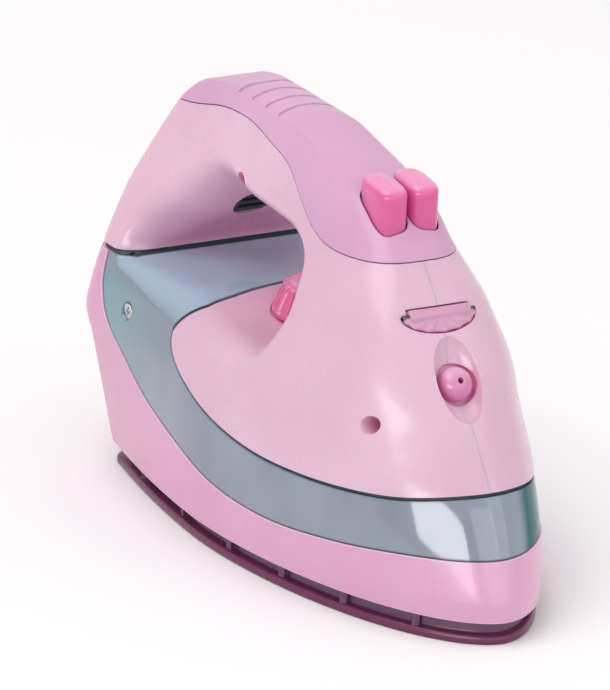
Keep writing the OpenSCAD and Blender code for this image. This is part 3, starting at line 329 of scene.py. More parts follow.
def halfOutline(row, inset, detail):
    fore, aft, widest, halfWide, heelWide, square = row[1:]
    thin = housing["thin"] * iron["width"]
    mid, rear = xAt(widest), xAt(max(aft, 0)) + inset
    tip = max(xAt(min(fore, 1)) - inset, mid + thin)
    w, heel = max(min(yAt(halfWide), yAt(1)) - inset, thin), max(yAt(heelWide) - inset, thin)
    corner = housing["heelCorner"] * heel
    u = np.linspace(0, 1, 500)
    a = math.pi / 2 * u ** 2 * (3 - 2 * u)
    nose = np.column_stack([mid + (tip - mid) * np.cos(a).clip(0) ** (2 / square),
                            w * np.sin(a) ** (2 / square)])
    flank = np.column_stack([mid + (rear + corner - mid) * u, w + (heel - w) * u ** housing["flankBend"]])
    arc = np.column_stack([rear + corner - corner * np.sin(math.pi / 2 * u),
                           heel - corner + corner * np.cos(math.pi / 2 * u)])
    line = np.array([[rear, heel - corner], [rear, 0.0]])
    parts = [(nose, "nose"), (flank, "flank"), (arc, "corner"), (line, "heel")]
    return np.concatenate([resampled(part, detail[name])[1 if k else 0:]
                           for k, (part, name) in enumerate(parts)])


def sectionRows(detail):
    # Even steps up the side view, then a round crown over the last rows.
    t = np.linspace(0, len(sections) - 2, housing["samples"])
    rows = blend(sections, t)
    path = np.column_stack([rows[:, 0] * iron["height"], rows[:, 1] * iron["length"] * housing["lengthShare"],
                            yAt(rows[:, 4])])
    way = travelled(path)
    rows = blend(sections, np.interp(np.linspace(0, way[-1], detail["rings"]), way, t))
    shoulder, top = np.array(sections[-2]), np.array(sections[-1])
    crown = []
    for u in np.linspace(0, housing["crownEnd"], detail["crown"] + 1)[1:]:
        row = shoulder + (top - shoulder) * u
        row[0] = 1 - (1 - shoulder[0]) * (row[4] / shoulder[4]) ** 2
        row[5:] = row[4] * housing["crownHeel"], housing["crownNose"]
        crown.append(row)
    return np.concatenate([rows, crown])


def wholeRing(half, z):
    ring = np.concatenate([half, half[-2:0:-1] * (1, -1)])
    return np.column_stack([ring, np.full(len(ring), z)])


def loft(rings):
    rings = [np.asarray(r) for r in rings]
    n, last = len(rings[0]), len(rings) - 1
    i = np.arange(n)
    j = (i + 1) % n
    faces = [list(range(n - 1, -1, -1))]
    for k in range(last):
        a, b = k * n + i, k * n + j
        faces += np.column_stack([a, b, b + n, a + n]).tolist()
    faces.append((last * n + i).tolist())
    return np.concatenate(rings), faces


def housingSolid(inset, detail):
    return loft([wholeRing(halfOutline(row, inset, detail), zAt(row[0]) - housing["insideDrop"] * inset)
                 for row in sectionRows(detail)])


class Flank:
    # Where the housing's side lies beside a place in the side view.
    def __init__(self):
        rows = sectionRows(fine)
        self.heights = zAt(rows[:, 0])
        self.outlines = [halfOutline(row, 0, plain)[::-1] for row in rows]

    def at(self, x, z):
        j = np.clip(np.searchsorted(self.heights, z) - 1, 0, len(self.heights) - 2)
        found = []
        for xk, zk, jk in zip(np.atleast_1d(x), np.atleast_1d(z), np.atleast_1d(j)):
            low, high = (np.interp(xk, o[:, 0], o[:, 1]) for o in (self.outlines[jk], self.outlines[jk + 1]))
            u = (zk - self.heights[jk]) / (self.heights[jk + 1] - self.heights[jk])
            found.append(low + (high - low) * u)
        return np.array(found)


flank = Flank()

# The finger opening: place, then how deep and how wide its edge is rounded.
opening = {
    "rim": [(0.130, 0.540, 0.10, 0.20), (0.200, 0.540, 0.15, 0.34), (0.265, 0.539, 0.19, 0.36),
            (0.315, 0.524, 0.19, 0.34), (0.370, 0.509, 0.18, 0.32), (0.460, 0.509, 0.17, 0.30),
            (0.510, 0.532, 0.18, 0.30), (0.526, 0.590, 0.19, 0.30), (0.523, 0.662, 0.18, 0.29),
            (0.500, 0.718, 0.18, 0.28), (0.450, 0.752, 0.17, 0.26), (0.375, 0.763, 0.16, 0.24),
            (0.315, 0.766, 0.17, 0.23), (0.270, 0.768, 0.21, 0.25), (0.232, 0.768, 0.27, 0.29),
            (0.204, 0.750, 0.32, 0.36), (0.176, 0.710, 0.33, 0.42), (0.145, 0.655, 0.30, 0.46),
            (0.110, 0.605, 0.23, 0.42), (0.090, 0.562, 0.14, 0.30), (0.098, 0.543, 0.10, 0.20)],
    "land": 0.6, "reach": 58.0, "stop": 80.0, "overrun": 4.0, "probe": 0.01}


def openingSolid(extra, steps, turns):
    rim = blendLoop([(xAt(p[0]), zAt(p[1]), yAt(p[2]), yAt(p[3])) for p in opening["rim"]], steps)
    way = np.roll(rim, -1, axis=0)[:, :2] - np.roll(rim, 1, axis=0)[:, :2]
    out = np.column_stack([way[:, 1], -way[:, 0]]) / np.linalg.norm(way, axis=1)[:, None]
    deep = rim[:, 2]
    half = flank.at(*(rim[:, :2] + deep[:, None] * out).T)
    near = flank.at(*(rim[:, :2] + deep[:, None] / 2 * out).T)
    wide = np.minimum(rim[:, 3], half - opening["land"])
    slope = 2 * (half - near) / deep

    def profile(turn):
        c, s = math.cos(turn), math.sin(turn)
        d = deep - (deep - extra) * c
        return d, half - wide + (wide - extra) * s + slope * (d - deep) * s * s

    def ring(d, y, side):
        spots = rim[:, :2] + d[:, None] * out
        return np.column_stack([spots[:, 0], side * y, spots[:, 1]])

    # From far outside to the middle on one side, then back out on the other.
    stop = math.radians(opening["stop"])
    (d0, y0), (d1, y1) = profile(stop - opening["probe"]), profile(stop)
    run = np.hypot(d1 - d0, y1 - y0)
    dOut, yOut = d1 + (d1 - d0) / run * opening["overrun"], y1 + (y1 - y0) / run * opening["overrun"]
    lips = [(dOut, np.full(len(rim), opening["reach"])), (dOut, yOut)]
    lips += [profile(a) for a in np.linspace(0, stop, turns)[::-1]]
    return loft([ring(d, y, 1) for d, y in lips] + [ring(d, y, -1) for d, y in lips[::-1]])


def slab(line):
    # A side view's outline, run across the iron.
    line = np.asarray(line, float)
    return loft([np.column_stack([line[:, 0], np.full(len(line), y), line[:, 1]])
                 for y in (iron["width"], -iron["width"])])


def prism(plan, low, high):
    plan = np.asarray(plan, float)
    return loft([np.column_stack([plan, np.full(len(plan), z)]) for z in (low, high)])


def box(low, high):
    (x0, y0, z0), (x1, y1, z1) = low, high
    return prism([(x0, y0), (x1, y0), (x1, y1), (x0, y1)], z0, z1)


def spun(profile, count=96):
    # A profile of radius and height, from the foot's rim to the top's, turned round Z.
    a = np.arange(count) * 2 * math.pi / count
    return loft([np.column_stack([r * np.cos(a), r * np.sin(a), np.full(count, z)]) for r, z in profile])


def moved(solid, at=(0, 0, 0), lean=0.0, roll=0.0):
    # Leans about Y, or rolls about X first, then moves.
    points, faces = solid
    c, s = math.cos(math.radians(roll)), math.sin(math.radians(roll))
    points = points @ np.array([[1, 0, 0], [0, c, -s], [0, s, c]]).T
    c, s = math.cos(math.radians(lean)), math.sin(math.radians(lean))
    return points @ np.array([[c, 0, s], [0, 1, 0], [-s, 0, c]]).T + np.asarray(at), faces


def meshOf(solid):
    points, faces = solid
    mesh = bpy.data.meshes.new("work")
    mesh.from_pydata((np.asarray(points) * millimetre).tolist(), [], faces)
    mesh.update()
    mesh.calc_loop_triangles()
    corners = np.empty(len(mesh.loop_triangles) * 3, np.int32)
    mesh.loop_triangles.foreach_get("vertices", corners)
    a, b, c = np.asarray(points)[corners].reshape(-1, 3, 3).transpose(1, 0, 2)
    if np.einsum("ij,ij->i", a, np.cross(b, c)).sum() < 0:
        mesh.flip_normals()
    return mesh


def workObject(solid):
    mesh = solid if isinstance(solid, bpy.types.Mesh) else meshOf(solid)
    obj = bpy.data.objects.new("work", mesh)
    scene.collection.objects.link(obj)
    return obj


def combined(first, *steps):
    # Booleans in order: each step is an operation and a solid or a mesh.
    work, tools = workObject(first), [workObject(solid) for operation, solid in steps]
    for (operation, solid), tool in zip(steps, tools):
        modifier = work.modifiers.new(operation, "BOOLEAN")
        modifier.operation, modifier.solver, modifier.object = operation, "MANIFOLD", tool
    result = bpy.data.meshes.new_from_object(work.evaluated_get(bpy.context.evaluated_depsgraph_get()))
    for obj in [work] + tools:
        bpy.data.objects.remove(obj)
    return result


def placed(mesh, at, lean=0.0):
    # A mesh that leans about Y, then moves to a place in millimetres.
    mesh.transform(Matrix.Translation(Vector(at) * millimetre) @ Matrix.Rotation(math.radians(lean), 4, "Y"))
    return mesh


def finished(name, mesh, body, slot, nodes, sharp=32.0, look=None):
    mesh.name = name
    mesh.materials.clear()
    mesh.materials.append(finishes[look or slot])
    mesh.polygons.foreach_set("use_smooth", np.ones(len(mesh.polygons), bool))
    mesh.set_sharp_from_angle(angle=math.radians(sharp))
    piece = bpy.data.objects.new(name, mesh)
    scene.collection.objects.link(piece)
    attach(piece, body)
    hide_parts(*nodes)
    print("piece", name, len(mesh.polygons), "faces")


cut, keep, join = "DIFFERENCE", "INTERSECT", "UNION"
lines = {
    "skirt": [(1.060, 0.200), (0.906, 0.193), (0.760, 0.173), (0.620, 0.160), (0.480, 0.172), (0.350, 0.212),
              (0.230, 0.262), (0.152, 0.325), (0.098, 0.395), (0.062, 0.465), (0.046, 0.540)],
    "tank": [(1.020, 0.372), (0.930, 0.342), (0.840, 0.316), (0.700, 0.304), (0.560, 0.308), (0.430, 0.338),
             (0.345, 0.385), (0.303, 0.440), (0.306, 0.500), (0.322, 0.540)],
    "cover": [(0.010, 0.890), (0.080, 0.905), (0.160, 0.932), (0.240, 0.938), (0.320, 0.922), (0.396, 0.900),
              (0.458, 0.854), (0.508, 0.813), (0.564, 0.791), (0.640, 0.789), (0.740, 0.798)],
    "saddle": [(0.322, 0.90), (0.318, 0.78), (0.302, 0.50), (0.288, 0.25), (0.280, 0.0)],
    "saddleHeight": 0.540, "columnFoot": 0.096, "steps": 14}
far = iron["length"]
skirtLine, tankLine = curve(lines["skirt"], lines["steps"]), curve(lines["tank"], lines["steps"])
coverLine = curve(lines["cover"], lines["steps"])
saddleZ, columnX = zAt(lines["saddleHeight"]), xAt(lines["columnFoot"])
wall, gap = iron["wall"], iron["moveGap"]


def bodyZone(grow):
    line = shifted(tankLine, grow)
    side = slab(np.concatenate([line, [[line[-1, 0], far], [far, far]]]))
    saddle = [(xAt(x) - grow, yAt(y)) for x, y in lines["saddle"]]
    edge = blend(saddle, np.linspace(0, len(saddle) - 1, 60))
    plan = np.concatenate([edge, edge[-2::-1] * (1, -1), [[far, -iron["width"]], [far, iron["width"]]]])
    return combined(side, (join, prism(plan, saddleZ - 2 * wall, saddleZ + 2 * wall)))


def above(line):
    return slab(np.concatenate([line, [[far, far], [-far, far]]]))


def bar(r, low, high, count=96):
    return spun([(r, low), (r, high)], count)


def rod(r, length, count=64):
    return bar(r, -length / 2, length / 2, count)


outer, inner, halfway = housingSolid(0, fine), housingSolid(wall, plain), housingSolid(wall / 2, plain)
innerVoid = combined(inner, (cut, openingSolid(wall, 4, 6)))
insideHalf = combined(halfway, (cut, openingSolid(wall / 2, 4, 6)))
hole = meshOf(openingSolid(0, 10, 26))
walls = combined(outer, (cut, hole), (cut, innerVoid))
print("walls of the housing", len(walls.polygons))

# Front fittings: places on the nose and the places of what stands behind it.
front = {"flapHeight": 0.692, "flapSlope": 39.0, "flapSink": 1.3, "flapWidth": 24.0, "flapLength": 6.0,
         "flapUnder": 0.9, "flapOver": 1.3, "flapBack": 4.0, "flapRoof": 4.0, "flapBlock": 16.0,
         "flapRoom": 7.0, "barrel": 2.0, "barrelLength": 20.0, "scallops": 7, "flute": 0.38,
         "nozzleHeight": 0.562, "nozzleSlope": 35.0, "recess": 7.8, "recessStep": 1.3, "recessDepth": 5.0,
         "bowlLong": 14.2, "bowlWide": 7.6, "bowlDeep": 6.2, "bowlLift": 1.6, "bowlShift": -0.8,
         "shankHole": 2.45, "through": 30.0, "portX": 0.157, "portZ": 0.671, "portLean": 40.0,
         "port": 6.5, "portCut": 8.0, "portBoss": 3.0, "portDepth": 9.7, "grille": 1.45,
         "grilleSeat": (-8.1, -2.0)}


def frontAt(z):
    return xAt(np.interp(z / iron["height"], [s[0] for s in sections], [s[1] for s in sections]))


flapZ, nozzleZ = zAt(front["flapHeight"]), zAt(front["nozzleHeight"])
flapSpot = {"at": (frontAt(flapZ) - front["flapSink"], 0, flapZ), "lean": 90 - front["flapSlope"]}
nozzleSpot = {"at": (frontAt(nozzleZ), 0, nozzleZ), "lean": 90 - front["nozzleSlope"]}
portSpot = {"at": (xAt(front["portX"]), 0, zAt(front["portZ"])), "lean": 90 + front["portLean"]}


def flapOutline(grow, ripple, points=140):
    a = np.linspace(0, math.pi, points)
    m = 1 - ripple * np.abs(np.cos(a * front["scallops"])) * np.sin(a)
    half = front["flapWidth"] / 2 + grow
    edge = np.column_stack([(front["flapLength"] + grow) * np.sin(a) * m, -half * np.cos(a) * m])
    return np.concatenate([edge, [[-grow, half], [-grow, -half]]]) if grow else edge


def bowl(grow, count=72):
    # An oval scoop, long down the nose, with its middle a little outside the surface.
    arc = np.linspace(-math.pi / 2, math.pi / 2, 25)[1:-1]
    points, faces = spun([(math.cos(a), math.sin(a)) for a in arc], count)
    long, wide, deep = (front[key] + grow for key in ("bowlLong", "bowlWide", "bowlDeep"))
    return points * (long, wide, deep) + (front["bowlShift"], 0, front["bowlLift"]), faces


dial = {"x": 0.389, "floor": 0.509, "radius": 15.0, "top": 11.5, "height": 9.5, "grooves": 20,
        "groove": 1.0, "scoop": 0.9, "steps": 18, "round": 1.5, "brim": 0.75, "footRound": 0.4,
        "footTop": 1.0, "sideFoot": 1.5, "dish": [(2.6, 0.0), (3.1, 0.35), (4.0, 0.5)], "lift": 0.4,
        "shaft": 4.0, "shaftRoom": 0.06, "collar": 2.5, "collarHeight": 5.0, "well": 2.4, "wellTop": 0.8}
dialX, dialFloor = xAt(dial["x"]), zAt(dial["floor"])
shaftEnd = dialFloor - wall - dial["collarHeight"] - dial["shaftRoom"]
screws = {"case": [(0.781, 0.460), (0.281, 0.810)], "caseSeat": 9.0, "caseRoom": 60.0, "casePilot": 34.0,
          "boss": 4.0, "headRoom": 2.7, "clear": 1.36, "pilot": 1.3, "tankX": 0.152, "tankZ": 0.440,
          "tankSink": 0.6, "tankPad": (-3.9, 5.0), "tankHead": 3.6, "tankHole": 18.0,
          "sole": [(0.800, 0.0), (0.110, 0.52), (0.110, -0.52)], "soleBoss": 16.0, "soleHead": 4.4,
          "solePilot": 36.0, "soleHole": 40.0}

# Inside the shells: thickenings that the recesses are cut in.
collar, well = dial["shaft"] + dial["collar"], dial["radius"] + dial["well"]
carriers = [
    moved(box((-front["barrel"] - wall, -front["flapBlock"], -front["flapBack"]),
              (front["flapLength"] + wall, front["flapBlock"], front["flapRoof"])), **flapSpot),
    moved(bowl(wall), **nozzleSpot),
    moved(rod(front["recess"], 2 * (front["recessDepth"] + wall)), **nozzleSpot),
    moved(bar(collar, 0, dial["collarHeight"] + 1), (dialX, 0, shaftEnd)),
    moved(bar(well, 0, dial["height"] + 2 * wall), (dialX, 0, dialFloor - wall)),
    moved(bar(front["port"] + front["portBoss"], -front["portDepth"], 0), **portSpot)]
for x, z in screws["case"]:
    carriers.append(moved(rod(screws["boss"], 2 * iron["width"]), (xAt(x), 0, zAt(z)), roll=90))
carrier = combined(carriers[0], *[(join, solid) for solid in carriers[1:]])
carrier = combined(carrier, (keep, insideHalf))

# Upper body: front lobe, front column, sides of the grip and rear column.
bodyFoot, tankEndX = saddleZ + iron["footGroove"], tankLine[-1, 0]
column = slab([(-far, bodyFoot), (tankEndX, bodyFoot), (tankEndX, far), (-far, far)])
body = combined(walls, (keep, combined(bodyZone(0), (join, column))), (join, carrier),
                (cut, above(coverLine)))
body = combined(
    body,
    (cut, moved(bar(dial["radius"] + gap, 0, dial["height"] + dial["wellTop"]), (dialX, 0, dialFloor))),
    (cut, moved(rod(dial["shaft"] + dial["shaftRoom"], front["through"]), (dialX, 0, dialFloor))),
    (cut, moved(rod(front["barrel"] + gap, front["barrelLength"] + 2 * gap), **{**flapSpot, "roll": 90})),
    (cut, moved(prism(flapOutline(gap, 0), -front["flapUnder"] - gap, front["flapRoom"]), **flapSpot)),
    (cut, moved(bowl(0), **nozzleSpot)),
    (cut, moved(rod(front["recess"] - front["recessStep"], 2 * front["recessDepth"]), **nozzleSpot)),
    (cut, moved(rod(front["shankHole"], front["through"]), **nozzleSpot)),
    (cut, moved(rod(front["port"], front["portCut"]), **portSpot)),
    (cut, moved(bar(front["port"] + front["grille"], *front["grilleSeat"]), **portSpot)))
below = -9
rightBody = combined(body, (cut, box((-far, 0, below), (far, far, far))))
leftBody = combined(body, (cut, box((-far, -far, below), (far, 0, far))))
for x, z in screws["case"]:
    spot = {"at": (xAt(x), -screws["caseSeat"], zAt(z)), "roll": 90}
    rightBody = combined(rightBody, (cut, moved(bar(screws["headRoom"], 0, screws["caseRoom"]), **spot)),
                         (cut, moved(rod(screws["clear"], iron["width"]), **spot)))
    leftBody = combined(leftBody, (cut, moved(rod(screws["pilot"], screws["casePilot"]), **spot)))
finished("bodyRight", rightBody, "housing", "body", ["body_shell_right"])
finished("bodyLeft", leftBody, "housing", "body", ["body_shell_left"])

# Grip cover over the top, with the pockets of the two buttons.
buttons = {"x": 0.612, "length": 16.0, "width": 10.0, "drop": 5.2, "split": 0.4, "tall": 18.8,
           "round": 2.6, "tilt": 0.10, "power": 0.65, "dome": 0.55, "stem": 1.8, "stemLength": 3.6,
           "catch": 1.2, "catchTall": 1.6, "catchHalf": 2.5, "wingHalf": 4.5, "overlap": 0.2, "sleeve": 1.6}
buttonX, buttonY = xAt(buttons["x"]), (buttons["width"] + buttons["split"]) / 2
buttonFoot = iron["height"] - buttons["drop"] - buttons["tall"]


def buttonPlan(inset, count=96):
    a = np.arange(count) * 2 * math.pi / count
    return np.column_stack([(buttons[key] / 2 - inset) * np.sign(wave) * np.abs(wave) ** buttons["power"]
                            for key, wave in (("length", np.cos(a)), ("width", np.sin(a)))])


cover = combined(outer, (cut, inner), (keep, above(shifted(coverLine, iron["coverGap"]))))
for side in (-1, 1):
    sleeve = prism(buttonPlan(-buttons["sleeve"]), buttonFoot, buttonFoot + buttons["tall"])
    sleeve = combined(moved(sleeve, (buttonX, side * buttonY, 0)), (keep, halfway))
    cover = combined(cover, (join, sleeve))
for side in (-1, 1):
    cover = combined(cover, (cut, moved(prism(buttonPlan(-gap), 0, far), (buttonX, side * buttonY, 0))))
# Four shallow grooves across the top, where the palm lies.
grooves = {"first": 0.184, "step": 0.043, "count": 4, "width": 1.6, "depth": 0.45, "half": 9.5, "low": 0.85}
grooveFloor = meshOf(housingSolid(grooves["depth"], fine))
for i in range(grooves["count"]):
    middle, half, wide = xAt(grooves["first"] + grooves["step"] * i), grooves["half"], grooves["width"] / 2
    groove = box((middle - wide, -half, zAt(grooves["low"])), (middle + wide, half, far))
    cover = combined(cover, (cut, combined(groove, (cut, grooveFloor))))
finished("gripCover", cover, "housing", "grip", ["grip_cover"])

# Water tank: it lies a little deeper than the skirt and the body round it.
sunk = combined(housingSolid(iron["tankSink"], fine), (cut, hole), (cut, innerVoid))
skirtEdge = shifted(skirtLine, -iron["skirtGap"])
tankSide = slab(np.concatenate([skirtEdge, [
    (columnX, saddleZ), (columnX, saddleZ + wall), (far, saddleZ + wall), (far, skirtEdge[0, 1])]]))
tank = combined(sunk, (keep, tankSide), (cut, bodyZone(iron["seamGap"])))
tankX, tankZ = xAt(screws["tankX"]), zAt(screws["tankZ"])
tankY = float(flank.at(tankX, tankZ)[0])
for side in (-1, 1):
    spot = {"at": (tankX, side * (tankY - screws["tankSink"]), tankZ), "roll": -90 * side}
    pad = combined(moved(bar(screws["boss"], *screws["tankPad"]), **spot), (keep, insideHalf))
    tank = combined(tank, (join, pad), (cut, moved(rod(screws["headRoom"], screws["tankHead"]), **spot)),
                    (cut, moved(rod(screws["clear"], screws["tankHole"]), **spot)))
finished("waterTank", tank, "housing", "tank", ["water_tank"])

# Skirt: the lower housing, with a floor over the soleplate.
soleTop = iron["soleHeight"]
skirtSlab = slab(np.concatenate([skirtLine, [(-far, skirtLine[-1, 1]), (-far, soleTop), (far, soleTop)]]))
hollow = combined(inner, (cut, box((-far, -far, 0), (far, far, soleTop + wall))))
skirt = combined(outer, (keep, skirtSlab), (cut, hollow))
soleSpots = [(xAt(x), yAt(y), 0) for x, y in screws["sole"]]
for x, y, z in soleSpots:
    boss = moved(bar(screws["boss"], 0, screws["soleBoss"]), (x, y, soleTop))
    skirt = combined(skirt, (join, boss), (cut, moved(rod(screws["pilot"], screws["solePilot"]), (x, y, z))))
power = {"switchX": 0.13, "switch": 14.0, "switchRoom": (7.15, 3.65), "slider": (6.0, 4.5), "travel": 3.0,
         "foot": 4.0, "gap": 3.7, "door": (81.0, 32.8), "room": (3.5, 10.5), "cut": 7.0}
switchX = xAt(power["switchX"])
doorX = switchX + power["switch"] / 2 + power["gap"] + power["foot"] + power["door"][0] / 2


def window(x, halfSize, low, high):
    long, wide = halfSize
    return box((x - long, -wide, low), (x + long, wide, high))


boxHalf = [size / 2 + power["foot"] for size in power["door"]]
skirt = combined(skirt, (cut, window(doorX, boxHalf, *power["room"])),
                 (cut, window(switchX, power["switchRoom"], *power["room"])))
finished("skirt", skirt, "housing", "skirt", ["base_skirt"])

# Soleplate: a rounded flange below a drawn-in dark neck with small ribs.
sole = {"lip": 2.2, "neck": 4.5, "floor": 2.4, "top": 9.0, "rib": 2.0, "ribStop": 0.4, "ribSpan": (1.3, 6.85),
        "ribPlaces": (2, 4, 6, 8, 10, 12), "rows": {"nose": 110, "flank": 70, "corner": 16, "heel": 18},
        "ribRows": {"nose": 9, "flank": 4, "corner": 3, "heel": 3},
        "edge": [(1.7, 0.0), (1.5, 0.07), (1.33, 0.2), (1.23, 0.4), (1.2, 0.6), (1.2, 1.5), (1.25, 1.85),
                 (1.4, 2.15), (1.65, 2.4), (2.0, 2.55), (2.4, 2.6), (3.9, 2.6), (4.2, 2.66), (4.4, 2.82),
                 (4.5, 3.1), (4.5, 7.0)]}


def soleOutline(inset, rows=sole["rows"]):
    return halfOutline(sections[1], inset, rows)


def soleSolid(*steps):
    return loft([wholeRing(soleOutline(inset), z) for inset, z in steps])


soleplate = combined(soleSolid(*sole["edge"]))
neckLine, lipLine = (soleOutline(inset, sole["ribRows"]) for inset in (sole["neck"], sole["lip"]))
ribs = []
for i in sole["ribPlaces"]:
    for side in (1, -1):
        start, end = neckLine[i] * (1, side), lipLine[i] * (1, side)
        way = (end - start) / np.linalg.norm(end - start)
        across = np.array([-way[1], way[0]]) * sole["rib"] / 2
        a, b = start - way, end - way * sole["ribStop"]
        ribs.append(prism([a - across, b - across, b + across, a + across], *sole["ribSpan"]))
soleplate = combined(soleplate, *[(join, rib) for rib in ribs])
pocket = combined(soleSolid(*[(sole["neck"] + wall, z) for z in (sole["floor"], sole["top"])]),
                  *[(cut, moved(rod(screws["boss"], front["through"]), spot)) for spot in soleSpots])
doorHalf = [size / 2 + gap for size in power["door"]]
slideHalf = ((power["slider"][0] + power["travel"]) / 2 + gap, power["slider"][1] / 2 + gap)
soleplate = combined(soleplate, (cut, pocket), (cut, window(doorX, doorHalf, -power["cut"], power["cut"])),
                     (cut, window(switchX, slideHalf, -power["cut"], power["cut"])),
                     *[(cut, moved(rod(screws["clear"], screws["soleHole"]), spot)) for spot in soleSpots],
                     *[(cut, moved(rod(screws["headRoom"], screws["soleHead"]), spot)) for spot in soleSpots])
# Blind steam dimples in a bow behind the nose, and a shallow moulded line round the face.
steam = {"inset": 14.0, "places": (6, 22, 38, 54, 70), "radius": 1.7, "depth": 0.7, "end": 1.45,
         "line": (8.4, 9.4), "lineDepth": 0.35}
bow = soleOutline(steam["inset"])
dimple = spun([(steam["radius"], -1)] + [(steam["radius"] * math.cos(a), steam["depth"] * math.sin(a))
                                         for a in np.linspace(0, steam["end"], 7)], 32)
for i in steam["places"]:
    for side in (1, -1):
        soleplate = combined(soleplate, (cut, moved(dimple, (bow[i, 0], side * bow[i, 1], 0))))
lineOut, lineIn = steam["line"]
ring = combined(soleSolid((lineOut, -1), (lineOut, steam["lineDepth"])),
                (cut, soleSolid((lineIn, -2), (lineIn, 2))))
soleplate = combined(soleplate, (cut, ring))
finished("soleplate", soleplate, "housing", "sole", ["soleplate"])

# Buttons: soft-edged caps with a tilted top, a stem and catches.
r, tall, lap, low = buttons["round"], buttons["tall"], buttons["overlap"], -buttons["catchTall"]
rest = buttons["width"] / 2 - r
profile = [(0, 0.0)]
profile += [(r * (1 - math.cos(a)), tall - r + r * math.sin(a)) for a in np.linspace(0, math.pi / 2, 12)]
profile += [(r + rest * u, tall + buttons["dome"] * (1 - (1 - u) ** 2)) for u in np.linspace(0.15, 0.98, 8)]
rings = []
for k, (inset, z) in enumerate(profile):
    plan = buttonPlan(inset)
    rings.append(np.column_stack([plan, z - (buttons["tilt"] * plan[:, 0] if k else 0 * plan[:, 0])]))
cap, foot = loft(rings), prism(buttonPlan(0), low, lap)
catch = box((-buttons["length"] / 2 - buttons["catch"], -buttons["catchHalf"], low),
            (0, buttons["catchHalf"], lap))
stem = bar(buttons["stem"], low - buttons["stemLength"], 0, 40)
for side, node, name in ((-1, "steam_button", "steamButton"), (1, "spray_button", "sprayButton")):
    near, away = sorted((0.0, side * (buttons["width"] / 2 + buttons["catch"])))
    wing = box((-buttons["wingHalf"], near, low), (buttons["wingHalf"], away, lap))
    shape = combined(cap, (join, foot), (join, catch), (join, wing), (join, stem))
    finished(name, placed(shape, (buttonX, side * buttonY, buttonFoot)), node, "accent", [node])

# Dial: a low knob with finger grooves round its side, on a shaft through the lobe.
count = dial["grooves"] * dial["steps"]
turns = np.arange(count) * 2 * math.pi / count
nearest = (turns * dial["grooves"] / (2 * math.pi) + 0.5) % 1 - 0.5
across = nearest * 2 * math.pi / dial["grooves"] * dial["radius"] / dial["groove"]
scoop = np.sqrt(np.clip(1 - across ** 2, 0, 1)) * dial["groove"] * dial["scoop"]
base, brim, tall, rise = dial["radius"], dial["top"] + dial["brim"], dial["height"], dial["round"]
edge, sideFoot = dial["footRound"], dial["sideFoot"]
# Radius, height, and how deep the grooves are there.
profile = [(0.01, 0.0, 0), (base - edge, 0.0, 0), (base, edge, 0), (base, dial["footTop"], 0)]
profile += [(base + (brim - base) * u, sideFoot + (tall - rise - sideFoot) * u, min(1, 8 * u))
            for u in np.linspace(0, 1, 18)]
profile += [(brim - rise * (1 - math.cos(a)) * 1.1, tall - rise + rise * math.sin(a), 1 - a / 2)
            for a in np.linspace(0.15, math.pi / 2, 8)]
profile += [(dial["top"] - inset, tall - drop, 0) for inset, drop in dial["dish"]]
profile += [(0.05, tall - dial["dish"][-1][1], 0)]
rings = []
for r, z, share in profile:
    radius = np.maximum(r - scoop * share, 0.01)
    rings.append(np.column_stack([radius * np.cos(turns), radius * np.sin(turns), np.full(count, z)]))
shaftFoot = shaftEnd - dialFloor - dial["lift"]
knob = combined(loft(rings), (join, bar(dial["shaft"], shaftFoot, 0.3)),
                (cut, moved(rod(screws["pilot"], 14), (0, 0, shaftFoot))))
knob = placed(knob, (dialX, 0, dialFloor + dial["lift"]))
finished("dial", knob, "dial", "accent", ["temperature_dial"], sharp=50)

# Filler flap: a fluted half shell that hangs from a barrel.
flutes = {"ripple": 0.08, "columns": 141, "rows": 16, "first": 0.06, "flat": 0.62, "dome": 0.38,
          "fade": 1.5, "rim": 0.3, "middle": 0.9, "stub": (0.5, 0.15), "pinHole": (0.86, 48.0),
          "trim": ((0.5, -13, -3), (12, 13, 3))}
rows, cols, lift, under = flutes["rows"], flutes["columns"], front["flapOver"], -front["flapUnder"]
bend, edgeLine = np.linspace(0.0, math.pi, cols), flapOutline(0, flutes["ripple"], cols)
layers = []
for rho in np.linspace(flutes["first"], 1, rows):
    flute = front["flute"] * np.cos(2 * front["scallops"] * bend) * np.sin(bend) * rho ** flutes["fade"]
    dome = lift * (flutes["flat"] + flutes["dome"] * math.sqrt(max(0, 1 - rho ** 6))) - front["flute"] * rho
    layers.append(np.column_stack([edgeLine * rho, dome - flute * (1 if rho < 0.99 else flutes["rim"])]))
top = np.concatenate(layers)
size = rows * cols
middles = [(0, 0, lift * flutes["middle"]), (0, 0, under)]
points = np.concatenate([top, top * (1, 1, 0) + (0, 0, under), middles])
faces = []
for i in range(rows - 1):
    for j in range(cols - 1):
        a, b, c, d = i * cols + j, i * cols + j + 1, (i + 1) * cols + j + 1, (i + 1) * cols + j
        faces += [[a, d, c, b], [size + a, size + b, size + c, size + d]]
for j in range(cols - 1):
    a, b = (rows - 1) * cols + j, (rows - 1) * cols + j + 1
    faces += [[a, size + a, size + b, b], [j, j + 1, 2 * size], [size + j + 1, size + j, 2 * size + 1]]
for a in range(0, size - cols, cols):
    b, c, d = a + cols, a + cols - 1, a + 2 * cols - 1
    faces += [[a, size + a, size + b, b], [c, d, size + d, size + c]]
faces += [[2 * size, 2 * size + 1, size, 0], [2 * size + 1, 2 * size, cols - 1, size + cols - 1]]
shell = combined((points, faces), (keep, box(*flutes["trim"])))
r, half, (corner, bevel) = front["barrel"], front["barrelLength"] / 2, flutes["stub"]
ends = [(r - corner, -half), (r - bevel, -half + bevel), (r, -half + corner)]
barrel = moved(spun(ends + [(q, -z) for q, z in ends[::-1]], 64), roll=90)
